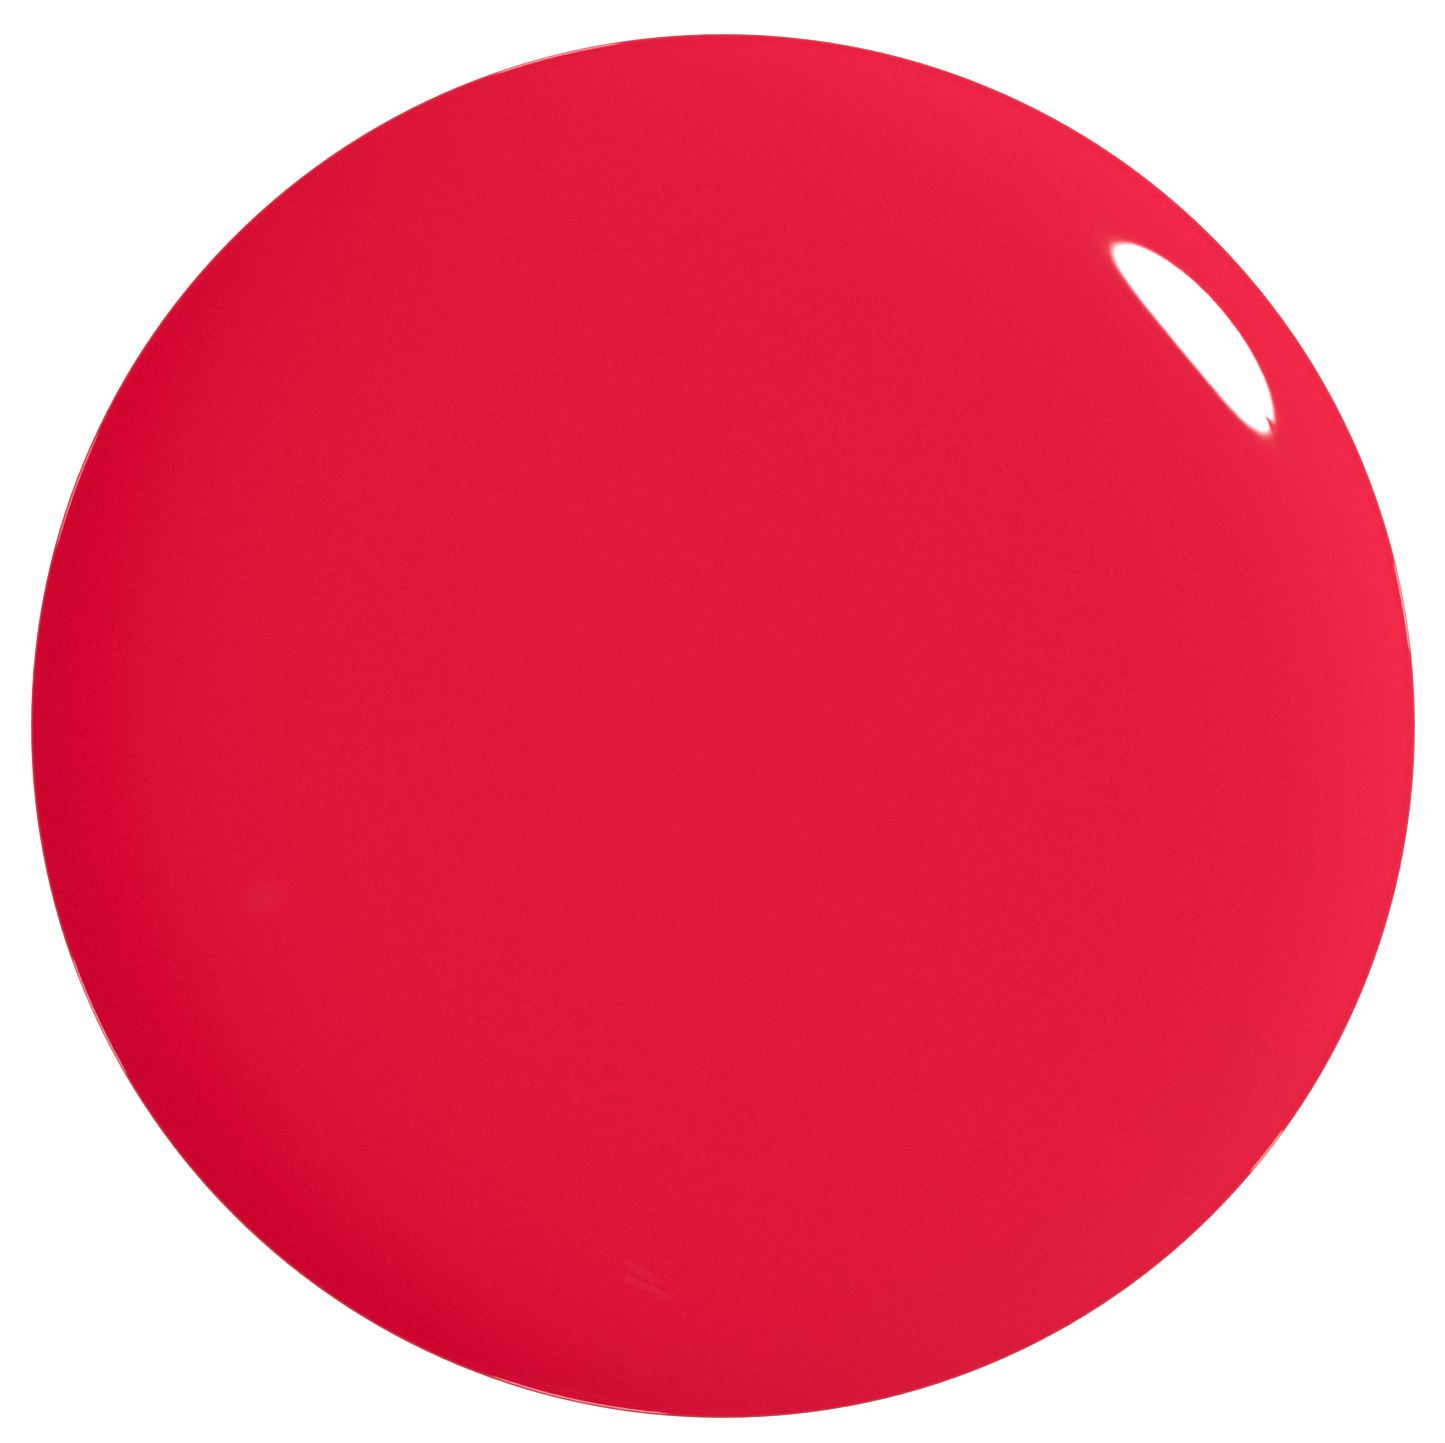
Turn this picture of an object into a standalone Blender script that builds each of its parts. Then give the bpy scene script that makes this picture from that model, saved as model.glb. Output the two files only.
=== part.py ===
"""Nail polish bottle: a round glass bottle of lacquer with a two-piece screw cap.

The inner cap screws on the glass neck and carries the brush. The over-cap slides off the inner cap,
and its top holds a level plate with a poured drop of the lacquer, which shows the colour from above.

Metres, +Z up. The origin is the centre of the base, on the surface that the bottle stands on.
Parts of the closure are measured from the lip of the neck, where the cap seals.
"""

import math

import bmesh
import bpy
from mathutils import Matrix, Vector

MM = 0.001

# Gaps between pieces
SEAT_GAP = 0.3 * MM  # between a piece and what it rests on or is pressed into
SLIDE_GAP = 0.3 * MM  # between pieces that move past each other

# Glass bottle
BODY_RADIUS = 14.8 * MM
BODY_WALL = 2.2 * MM
BASE_THICKNESS = 6.0 * MM
BODY_HEIGHT = 40.0 * MM  # base to shoulder
SHOULDER_ROUND = 2.2 * MM
HEEL_ROUND = 1.4 * MM
INNER_ROUND = 2.4 * MM
STANDING_RING_WIDTH = 1.7 * MM  # flat that the bottle stands on, round the hollow under its base
RECESS_DEPTH = 1.1 * MM
RECESS_ROUND = 0.5 * MM

# Neck finish 15-415
NECK_HEIGHT = 12.5 * MM
NECK_RADIUS = 6.6 * MM
NECK_BORE_RADIUS = 4.0 * MM
LIP_ROUND = 0.4 * MM
BEAD_PROJECTION = 0.9 * MM
BEAD_HEIGHT = 1.2 * MM
BEAD_RISE = 1.2 * MM  # bead's underside above the shoulder
NECK_FILLET = 0.6 * MM
THREAD_LEAD = 25.4 / 12 * MM
THREAD_DEPTH = 0.75 * MM
THREAD_OVERLAP = 0.4 * MM  # crest past crest, seen along the axis
THREAD_CREST_WIDTH = 0.56 * MM
THREAD_ROOT_WIDTH = 1.2 * MM
THREAD_SINK = 0.2 * MM  # ridge's root inside the wall that carries it
NECK_THREAD_TURNS = 1.75
CAP_THREAD_TURNS = 1.6
NECK_THREAD_RISE = 2.8 * MM  # bead's top to the middle of the ridge's lower end

# Lacquer and mixing balls
AIR_HEIGHT = 3.3 * MM  # liquid's level below the shoulder's inside
BRUSH_WELL_GAP = 0.7 * MM
BALL_RADIUS = 2.4 * MM
BALL_COUNT = 2
BALL_START_ANGLE = math.radians(90)  # beside the tuft's flat faces
BALL_WELL_GAP = 0.35 * MM

# Base label
LABEL_GAP = 0.5 * MM  # between its rim and the recess wall
LABEL_THICKNESS = 0.3 * MM

# Inner cap, measured from the lip
INNER_CAP_WALL = 1.75 * MM
CHAMBER_GAP = 0.3 * MM  # neck thread's crest to the chamber's wall
SKIRT_OVER_BEAD = 0.6 * MM
INNER_CAP_RISE = 15.5 * MM  # top above the lip
INNER_CAP_TOP_WALL = 1.6 * MM
INNER_CAP_ROUND = 1.0 * MM
SKIRT_CHAMFER = 0.35 * MM
SOCKET_WALL = 1.3 * MM
WEB_COUNT = 6
WEB_THICKNESS = 0.8 * MM
FLUTE_COUNT = 30
FLUTE_RADIUS = 0.6 * MM
FLUTE_DEPTH = 0.55 * MM
SKIRT_BAND = 2.0 * MM  # plain band under the flutes

# Liner, washer on the lip
LINER_THICKNESS = 1.0 * MM
LINER_SETBACK = 0.2 * MM  # its hole's edge behind the bore's

# Brush, measured from the lip
STEM_RADIUS = 1.9 * MM
STEM_FLANGE_THICKNESS = 1.0 * MM
STEM_PLUG_RADIUS = 2.6 * MM  # pressed into the inner cap's socket
STEM_PLUG_CHAMFER = 0.4 * MM
STEM_PLUG_END_GAP = 1.0 * MM
NECK_PLUG_DEPTH = 0.8 * MM  # straight part inside the neck
NECK_PLUG_TAPER = 2.2 * MM
NECK_PLUG_GAP = 0.35 * MM
FERRULE_RADIUS = 2.3 * MM
FERRULE_LENGTH = 7.6 * MM
FERRULE_TAPER = 0.8 * MM
TUFT_HOLE_RADIUS = 1.7 * MM
TUFT_HOLE_DEPTH = 4.4 * MM
ANCHOR_THICKNESS = 0.4 * MM
ANCHOR_HEIGHT = 1.2 * MM
TUFT_LENGTH = 8.9 * MM  # below the ferrule
TUFT_HALF_WIDTH = 2.7 * MM
TUFT_HALF_DEPTH = 0.95 * MM
BRUSH_FLOOR_GAP = 2.0 * MM  # tip above the glass floor

# Over-cap, measured from the lip
OVER_CAP_OVERHANG = 0.2 * MM  # past the bottle's side
OVER_CAP_WALL = 1.3 * MM
OVER_CAP_TOP_WALL = 1.5 * MM
SHOULDER_GAP = 0.5 * MM  # over-cap's edge above the shoulder
OVER_CAP_EDGE = 0.25 * MM
SLEEVE_WALL = 1.2 * MM
SLEEVE_FLANGE = 1.0 * MM
SLEEVE_TOP_WALL = 1.2 * MM
FIN_COUNT = 8
FIN_THICKNESS = 0.8 * MM
FLUTES_PER_KEY = 5
KEY_TIP_GAP = 0.35 * MM
WEIGHT_THICKNESS = 3.4 * MM
WEIGHT_HOLE_RADIUS = 6.0 * MM

# Colour drop on the over-cap
PLATE_THICKNESS = 0.8 * MM
DROP_RIM = 0.12 * MM  # wetted height at the plate's edge
DROP_RIM_SLOPE = 0.6  # tangent of the surface's tilt at the rim
CAPILLARY_LENGTH = 1.725 * MM  # over which that tilt dies away inwards

# Facets
TURN_STEPS = 48
SMALL_TURN_STEPS = 32
THREAD_STEPS_PER_TURN = 36
ARC_STEPS = 4

# Radii that follow
INNER_RADIUS = BODY_RADIUS - BODY_WALL
RECESS_RADIUS = BODY_RADIUS - HEEL_ROUND - STANDING_RING_WIDTH - RECESS_ROUND
BEAD_RADIUS = NECK_RADIUS + BEAD_PROJECTION
CREST_RADIUS = NECK_RADIUS + THREAD_DEPTH
CHAMBER_RADIUS = CREST_RADIUS + CHAMBER_GAP
INNER_CAP_RADIUS = CHAMBER_RADIUS + INNER_CAP_WALL
SOCKET_RADIUS = STEM_PLUG_RADIUS + SEAT_GAP
BRUSH_WELL_RADIUS = TUFT_HALF_WIDTH + BRUSH_WELL_GAP
BALL_CIRCLE_RADIUS = (BRUSH_WELL_RADIUS + INNER_RADIUS - SEAT_GAP) / 2
SLEEVE_RADIUS = INNER_CAP_RADIUS + SLIDE_GAP
OVER_CAP_RADIUS = BODY_RADIUS + OVER_CAP_OVERHANG
OVER_CAP_BORE_RADIUS = OVER_CAP_RADIUS - OVER_CAP_WALL

# Heights that follow, from the base
LIP = BODY_HEIGHT + NECK_HEIGHT
INNER_SHOULDER = BODY_HEIGHT - BODY_WALL

# Heights that follow, from the lip
BEAD_TOP = BEAD_RISE + BEAD_HEIGHT - NECK_HEIGHT
NECK_THREAD_START = BEAD_TOP + NECK_THREAD_RISE
SKIRT_END = BEAD_TOP + SKIRT_OVER_BEAD
FLANGE_BASE = SEAT_GAP + LINER_THICKNESS + SEAT_GAP
FLANGE_TOP = FLANGE_BASE + STEM_FLANGE_THICKNESS
SOCKET_END = FLANGE_TOP + SEAT_GAP
CEILING = INNER_CAP_RISE - INNER_CAP_TOP_WALL
TUFT_TIP = BRUSH_FLOOR_GAP + BASE_THICKNESS - LIP
FERRULE_END = TUFT_TIP + TUFT_LENGTH
TUFT_HOLE_END = FERRULE_END + TUFT_HOLE_DEPTH
ANCHOR_BASE = TUFT_HOLE_END - SEAT_GAP - ANCHOR_HEIGHT
SLEEVE_CEILING = INNER_CAP_RISE + SEAT_GAP
SLEEVE_TOP = SLEEVE_CEILING + SLEEVE_TOP_WALL
OVER_CAP_END = SHOULDER_GAP - NECK_HEIGHT
OVER_CAP_CEILING = SLEEVE_TOP + SEAT_GAP + WEIGHT_THICKNESS + SEAT_GAP
OVER_CAP_RISE = OVER_CAP_CEILING + OVER_CAP_TOP_WALL
SLEEVE_END = OVER_CAP_END + SEAT_GAP
PLATE_BASE = OVER_CAP_RISE + SEAT_GAP
DROP_BASE = PLATE_BASE + PLATE_THICKNESS + SEAT_GAP


def clear_scene():
    """Removes every object, so that only the bottle is left."""
    for item in list(bpy.data.objects):
        bpy.data.objects.remove(item, do_unlink=True)


def new_collection(name):
    made = bpy.data.collections.new(name)
    bpy.context.scene.collection.children.link(made)
    return made


def new_material(name, colour, roughness, metallic=0.0, transmission=0.0):
    material = bpy.data.materials.new(name)
    material.use_nodes = True
    shader = material.node_tree.nodes["Principled BSDF"]
    shader.inputs["Base Color"].default_value = (*colour, 1.0)
    shader.inputs["Roughness"].default_value = roughness
    shader.inputs["Metallic"].default_value = metallic
    shader.inputs["Transmission Weight"].default_value = transmission
    return material


def new_materials():
    """The finishes, by name."""
    return {
        "clear_glass": new_material("clear_glass", (0.93, 0.96, 0.95), 0.03, transmission=1.0),
        "red_lacquer": new_material("red_lacquer", (0.72, 0.007, 0.038), 0.08),
        "black_gloss": new_material("black_gloss", (0.012, 0.012, 0.014), 0.12),
        "black_polypropylene": new_material("black_polypropylene", (0.02, 0.02, 0.022), 0.45),
        "natural_polyethylene": new_material("natural_polyethylene", (0.83, 0.83, 0.8), 0.5),
        "white_foam": new_material("white_foam", (0.86, 0.86, 0.84), 0.8),
        "steel": new_material("steel", (0.66, 0.67, 0.68), 0.25, metallic=1.0),
        "brass": new_material("brass", (0.72, 0.52, 0.22), 0.3, metallic=1.0),
        "nylon_bristle": new_material("nylon_bristle", (0.03, 0.028, 0.028), 0.5),
        "clear_acrylic": new_material("clear_acrylic", (0.95, 0.95, 0.95), 0.05, transmission=1.0),
        "paper": new_material("paper", (0.85, 0.85, 0.84), 0.7),
    }


def new_empty(name, collection, height, parent=None):
    """A joint's frame: it stands on the bottle's axis at that height above its parent."""
    empty = bpy.data.objects.new(name, None)
    empty.empty_display_size = 5 * MM
    empty.location = (0.0, 0.0, height)
    empty.parent = parent
    collection.objects.link(empty)
    return empty


def add_object(name, mesh, collection, material=None, parent=None):
    made = bpy.data.objects.new(name, mesh)
    collection.objects.link(made)
    made.parent = parent
    if material is not None:
        mesh.materials.append(material)
    return made


def as_helper(item):
    """Marks a cutter or a shape that another object is joined with."""
    item.hide_render = True
    item.display_type = "WIRE"
    return item


def shade(mesh, sharp_over_degrees=40.0):
    mesh.shade_smooth()
    mesh.set_sharp_from_angle(angle=math.radians(sharp_over_degrees))


def arc(centre_radius, centre_height, radius, start, end, steps=ARC_STEPS):
    """Points of a round stretch of a profile, from one angle to another in degrees; 0 points outwards."""
    angles = [math.radians(start + (end - start) * n / steps) for n in range(steps + 1)]
    return [
        (centre_radius + radius * math.cos(a), centre_height + radius * math.sin(a)) for a in angles
    ]


def turned(name, profile, collection, material=None, parent=None, closed=False, steps=TURN_STEPS):
    """A profile of (radius, height) points, run down its outer side, turned about Z."""
    mesh = bpy.data.meshes.new(name)
    points = [(radius, 0.0, height) for radius, height in profile]
    edges = [(n, n + 1) for n in range(len(points) - 1)]
    if closed:
        edges.append((len(points) - 1, 0))
    mesh.from_pydata(points, edges, [])
    made = add_object(name, mesh, collection, material, parent)
    screw = made.modifiers.new("Turn", "SCREW")
    screw.axis = "Z"
    screw.angle = math.tau
    screw.steps = steps
    screw.render_steps = steps
    screw.use_merge_vertices = True
    screw.merge_threshold = 0.001 * MM
    screw.use_smooth_shade = True
    return made


def boolean(item, other, operation):
    modifier = item.modifiers.new(operation.title(), "BOOLEAN")
    modifier.operation = operation
    modifier.solver = "EXACT"
    modifier.object = other


def bars_around(name, size, place, count, collection, parent=None, first=0.0):
    """Equal bars on a circle, in one mesh. Size is (radial, across, height); place is (radius, height)."""
    mesh = bpy.data.meshes.new(name)
    built = bmesh.new()
    radius, height = place
    for n in range(count):
        turn = Matrix.Rotation(first + math.tau * n / count, 4, "Z")
        shift = Matrix.Translation((radius, 0.0, height))
        bmesh.ops.create_cube(built, size=1.0, matrix=turn @ shift @ Matrix.Diagonal((*size, 1.0)))
    built.to_mesh(mesh)
    built.free()
    return as_helper(add_object(name, mesh, collection, parent=parent))


def rods_around(name, radius, length, place, count, collection, parent=None, first=0.0, sides=8):
    """Equal upright rods on a circle, in one mesh; place is (radius, middle height)."""
    mesh = bpy.data.meshes.new(name)
    built = bmesh.new()
    circle, height = place
    for n in range(count):
        turn = Matrix.Rotation(first + math.tau * n / count, 4, "Z")
        bmesh.ops.create_cone(
            built,
            cap_ends=True,
            segments=sides,
            radius1=radius,
            radius2=radius,
            depth=length,
            matrix=turn @ Matrix.Translation((circle, 0.0, height)),
        )
    built.to_mesh(mesh)
    built.free()
    return as_helper(add_object(name, mesh, collection, parent=parent))


def helical_ridge(name, section, start_height, turns, collection, parent=None):
    """A right-hand thread's ridge: its section of (radius, height) points swept up and round the axis."""
    steps = round(turns * THREAD_STEPS_PER_TURN)
    angle = math.tau * turns
    built = bmesh.new()
    corners = [built.verts.new((radius, 0.0, start_height + height)) for radius, height in section]
    face = built.faces.new(corners)
    bmesh.ops.spin(
        built,
        geom=[face, *face.edges, *face.verts],
        cent=(0.0, 0.0, 0.0),
        axis=(0.0, 0.0, 1.0),
        dvec=(0.0, 0.0, THREAD_LEAD * turns / steps),
        angle=angle,
        steps=steps,
        use_duplicate=False,
    )
    bmesh.ops.recalc_face_normals(built, faces=built.faces)
    mesh = bpy.data.meshes.new(name)
    built.to_mesh(mesh)
    built.free()
    return as_helper(add_object(name, mesh, collection, parent=parent))


def thread_section(root_radius, crest_radius):
    """A ridge's trapezoid between its root, sunk in the wall, and its crest."""
    depth = abs(crest_radius - root_radius)
    sunk_radius = root_radius - math.copysign(THREAD_SINK, crest_radius - root_radius)
    crest, root = THREAD_CREST_WIDTH / 2, THREAD_ROOT_WIDTH / 2
    sunk = crest + (root - crest) * (depth + THREAD_SINK) / depth
    return [(sunk_radius, -sunk), (crest_radius, -crest), (crest_radius, crest), (sunk_radius, sunk)]


def loft(name, rings, collection, material, parent=None):
    """A closed solid through rings of equal point counts, from the top one down."""
    mesh = bpy.data.meshes.new(name)
    built = bmesh.new()
    rows = [[built.verts.new(point) for point in ring] for ring in rings]
    count = len(rows[0])
    for upper, lower in zip(rows, rows[1:]):
        for n in range(count):
            after = (n + 1) % count
            built.faces.new((upper[n], lower[n], lower[after], upper[after]))
    built.faces.new(rows[0])
    built.faces.new(reversed(rows[-1]))
    built.to_mesh(mesh)
    built.free()
    shade(mesh)
    return add_object(name, mesh, collection, material, parent)


def glass_bottle(parts, helpers, finishes):
    """Body, shoulder and threaded neck in one turned piece, with a thick base and a hollow under it."""
    floor = BASE_THICKNESS
    flare = INNER_ROUND + NECK_BORE_RADIUS
    bead_base = BODY_HEIGHT + BEAD_RISE
    bead_round = BEAD_HEIGHT / 2
    inside = (
        [(0.0, floor)]
        + arc(INNER_RADIUS - INNER_ROUND, floor + INNER_ROUND, INNER_ROUND, -90, 0)
        + arc(INNER_RADIUS - INNER_ROUND, INNER_SHOULDER - INNER_ROUND, INNER_ROUND, 0, 90)
        + arc(flare, INNER_SHOULDER + INNER_ROUND, INNER_ROUND, 270, 180)
        + arc(NECK_BORE_RADIUS + LIP_ROUND, LIP - LIP_ROUND, LIP_ROUND, 180, 90, 2)
    )
    outside = (
        arc(NECK_RADIUS - LIP_ROUND, LIP - LIP_ROUND, LIP_ROUND, 90, 0, 2)
        + [(NECK_RADIUS, bead_base + BEAD_HEIGHT + LIP_ROUND / 2)]
        + arc(BEAD_RADIUS - bead_round, bead_base + bead_round, bead_round, 60, -60)
        + arc(NECK_RADIUS + NECK_FILLET, BODY_HEIGHT + NECK_FILLET, NECK_FILLET, 180, 270, 2)
        + arc(BODY_RADIUS - SHOULDER_ROUND, BODY_HEIGHT - SHOULDER_ROUND, SHOULDER_ROUND, 90, 0)
        + arc(BODY_RADIUS - HEEL_ROUND, HEEL_ROUND, HEEL_ROUND, 0, -90)
        + [(RECESS_RADIUS + RECESS_ROUND, 0.0), (RECESS_RADIUS, RECESS_ROUND)]
        + [(RECESS_RADIUS - RECESS_ROUND, RECESS_DEPTH), (0.0, RECESS_DEPTH)]
    )
    bottle = turned("glass_bottle", inside + outside, parts, finishes["clear_glass"])
    ridge = helical_ridge(
        "neck_thread_ridge",
        thread_section(NECK_RADIUS, CREST_RADIUS),
        LIP + NECK_THREAD_START,
        NECK_THREAD_TURNS,
        helpers,
    )
    boolean(bottle, ridge, "UNION")
    return bottle


def lacquer_fill(parts, helpers, finishes):
    """The liquid, clear of the glass, with a well for the brush and one for each mixing ball."""
    radius, floor = INNER_RADIUS - SEAT_GAP, BASE_THICKNESS + SEAT_GAP
    round_radius = INNER_ROUND - SEAT_GAP
    level = INNER_SHOULDER - AIR_HEIGHT
    profile = (
        [(0.0, level), (radius, level)]
        + arc(radius - round_radius, floor + round_radius, round_radius, 0, -90)
        + [(0.0, floor)]
    )
    fill = turned("lacquer_fill", profile, parts, finishes["red_lacquer"])
    well_floor = LIP + TUFT_TIP - BRUSH_WELL_GAP
    depth = LIP - well_floor
    place = (0.0, well_floor + depth / 2)
    well = rods_around("brush_well", BRUSH_WELL_RADIUS, depth, place, 1, helpers, sides=24)
    boolean(fill, well, "DIFFERENCE")
    wells = rods_around(
        "ball_wells",
        BALL_RADIUS + BALL_WELL_GAP,
        2 * LIP,
        (BALL_CIRCLE_RADIUS, LIP / 2),
        BALL_COUNT,
        helpers,
        first=BALL_START_ANGLE,
        sides=20,
    )
    boolean(fill, wells, "DIFFERENCE")
    return fill


def mixing_balls(parts, finishes):
    """Steel balls on the glass floor, which stir the lacquer when the bottle is shaken."""
    for n in range(BALL_COUNT):
        angle = BALL_START_ANGLE + math.tau * n / BALL_COUNT
        built = bmesh.new()
        bmesh.ops.create_uvsphere(built, u_segments=20, v_segments=12, radius=BALL_RADIUS)
        name = f"mixing_ball_{n + 1}"
        mesh = bpy.data.meshes.new(name)
        built.to_mesh(mesh)
        built.free()
        shade(mesh)
        ball = add_object(name, mesh, parts, finishes["steel"])
        ball.location = (
            BALL_CIRCLE_RADIUS * math.cos(angle),
            BALL_CIRCLE_RADIUS * math.sin(angle),
            BASE_THICKNESS + SEAT_GAP + BALL_RADIUS,
        )


def base_label(parts, finishes):
    """A round label stuck in the hollow under the base."""
    radius = RECESS_RADIUS - RECESS_ROUND - LABEL_GAP
    top = RECESS_DEPTH - SEAT_GAP
    base = top - LABEL_THICKNESS
    profile = [(0.0, top), (radius, top), (radius, base), (0.0, base)]
    return turned("base_label", profile, parts, finishes["paper"])


def cap_liner(parts, finishes, parent):
    """A foam washer between the lip and the brush's flange."""
    outer = CHAMBER_RADIUS - SEAT_GAP
    inner = NECK_BORE_RADIUS + LINER_SETBACK
    base = SEAT_GAP
    top = base + LINER_THICKNESS
    profile = [(outer, top), (outer, base), (inner, base), (inner, top)]
    return turned("cap_liner", profile, parts, finishes["white_foam"], parent, closed=True)


def inner_cap(parts, helpers, finishes, parent):
    """The threaded cap that holds the brush: fluted outside, with a socket on webs inside."""
    profile = (
        [(0.0, INNER_CAP_RISE)]
        + arc(
            INNER_CAP_RADIUS - INNER_CAP_ROUND,
            INNER_CAP_RISE - INNER_CAP_ROUND,
            INNER_CAP_ROUND,
            90,
            0,
        )
        + [(INNER_CAP_RADIUS, SKIRT_END + SKIRT_CHAMFER)]
        + [(INNER_CAP_RADIUS - SKIRT_CHAMFER, SKIRT_END)]
        + [(CHAMBER_RADIUS + SKIRT_CHAMFER, SKIRT_END)]
        + [(CHAMBER_RADIUS, SKIRT_END + SKIRT_CHAMFER), (CHAMBER_RADIUS, CEILING)]
        + [(SOCKET_RADIUS + SOCKET_WALL, CEILING), (SOCKET_RADIUS + SOCKET_WALL, SOCKET_END)]
        + [(SOCKET_RADIUS, SOCKET_END), (SOCKET_RADIUS, CEILING), (0.0, CEILING)]
    )
    cap = turned("inner_cap", profile, parts, finishes["black_polypropylene"], parent)
    web_end = SOCKET_RADIUS + SOCKET_WALL / 2
    web_length = CHAMBER_RADIUS + SOCKET_WALL / 2 - web_end
    web_height = CEILING + INNER_CAP_TOP_WALL / 2 - SOCKET_END
    webs = bars_around(
        "socket_webs",
        (web_length, WEB_THICKNESS, web_height),
        (web_end + web_length / 2, SOCKET_END + web_height / 2),
        WEB_COUNT,
        helpers,
        parent,
    )
    boolean(cap, webs, "UNION")
    ridge = helical_ridge(
        "cap_thread_ridge",
        thread_section(CHAMBER_RADIUS, CREST_RADIUS - THREAD_OVERLAP),
        NECK_THREAD_START - THREAD_LEAD / 2,
        CAP_THREAD_TURNS,
        helpers,
        parent,
    )
    boolean(cap, ridge, "UNION")
    flute_start = SKIRT_END + SKIRT_BAND
    flute_length = INNER_CAP_RISE + FLUTE_RADIUS - flute_start
    flutes = rods_around(
        "grip_flutes",
        FLUTE_RADIUS,
        flute_length,
        (INNER_CAP_RADIUS + FLUTE_RADIUS - FLUTE_DEPTH, flute_start + flute_length / 2),
        FLUTE_COUNT,
        helpers,
        parent,
    )
    boolean(cap, flutes, "DIFFERENCE")
    return cap


def brush_stem(parts, finishes, parent):
    """The moulded rod: a plug for the socket, a sealing flange, a neck plug and a ferrule."""
    neck_plug = NECK_BORE_RADIUS - NECK_PLUG_GAP
    ferrule_top = FERRULE_END + FERRULE_LENGTH
    plug_top = CEILING - STEM_PLUG_END_GAP
    flange = CHAMBER_RADIUS - SEAT_GAP
    profile = [
        (0.0, plug_top),
        (STEM_PLUG_RADIUS - STEM_PLUG_CHAMFER, plug_top),
        (STEM_PLUG_RADIUS, plug_top - STEM_PLUG_CHAMFER),
        (STEM_PLUG_RADIUS, FLANGE_TOP),
        (flange, FLANGE_TOP),
        (flange, FLANGE_BASE),
        (neck_plug, FLANGE_BASE),
        (neck_plug, -NECK_PLUG_DEPTH),
        (STEM_RADIUS, -NECK_PLUG_DEPTH - NECK_PLUG_TAPER),
        (STEM_RADIUS, ferrule_top),
        (FERRULE_RADIUS, ferrule_top - FERRULE_TAPER),
        (FERRULE_RADIUS, FERRULE_END),
        (TUFT_HOLE_RADIUS, FERRULE_END),
        (TUFT_HOLE_RADIUS, TUFT_HOLE_END),
        (0.0, TUFT_HOLE_END),
    ]
    finish = finishes["natural_polyethylene"]
    return turned("brush_stem", profile, parts, finish, parent, steps=SMALL_TURN_STEPS)


def bristle_anchor(parts, finishes, parent):
    """The flat wire across the hole, round which the bristles are folded."""
    length = 2 * (TUFT_HOLE_RADIUS - SEAT_GAP)
    size = Matrix.Diagonal((length, ANCHOR_THICKNESS, ANCHOR_HEIGHT, 1.0))
    middle = Matrix.Translation((0.0, 0.0, ANCHOR_BASE + ANCHOR_HEIGHT / 2))
    built = bmesh.new()
    bmesh.ops.create_cube(built, size=1.0, matrix=middle @ size)
    mesh = bpy.data.meshes.new("bristle_anchor")
    built.to_mesh(mesh)
    built.free()
    return add_object("bristle_anchor", mesh, parts, finishes["brass"], parent)


def bristle_tuft(parts, finishes, parent, sides=20):
    """The bristles as one solid: round in the ferrule, then flat and wide, with a rounded tip."""
    root = TUFT_HOLE_RADIUS - SEAT_GAP
    # (share of the free length, share of the full half width, share of the full half depth)
    free_sections = [(0.2, 0.68, 1.3), (0.45, 0.87, 1.15), (0.75, 1.0, 1.0)]
    free_sections += [(0.9, 0.96, 0.8), (0.97, 0.82, 0.6), (1.0, 0.6, 0.42)]
    ovals = [(ANCHOR_BASE - SEAT_GAP, root, root), (FERRULE_END, root, root)]
    for along, width, depth in free_sections:
        height = FERRULE_END - along * TUFT_LENGTH
        ovals.append((height, width * TUFT_HALF_WIDTH, depth * TUFT_HALF_DEPTH))
    angles = [math.tau * n / sides for n in range(sides)]
    rings = [
        [Vector((half_width * math.cos(a), half_depth * math.sin(a), height)) for a in angles]
        for height, half_width, half_depth in ovals
    ]
    return loft("bristle_tuft", rings, parts, finishes["nylon_bristle"], parent)


def over_cap_shell(parts, finishes, parent):
    """The outer cap, as wide as the bottle and open below."""
    inner = OVER_CAP_BORE_RADIUS
    edge = OVER_CAP_EDGE
    profile = [
        (0.0, OVER_CAP_RISE),
        (OVER_CAP_RADIUS, OVER_CAP_RISE),
        (OVER_CAP_RADIUS, OVER_CAP_END + edge),
        (OVER_CAP_RADIUS - edge, OVER_CAP_END),
        (inner + edge, OVER_CAP_END),
        (inner, OVER_CAP_END + edge),
        (inner, OVER_CAP_CEILING),
        (0.0, OVER_CAP_CEILING),
    ]
    return turned("over_cap_shell", profile, parts, finishes["black_gloss"], parent)


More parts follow.
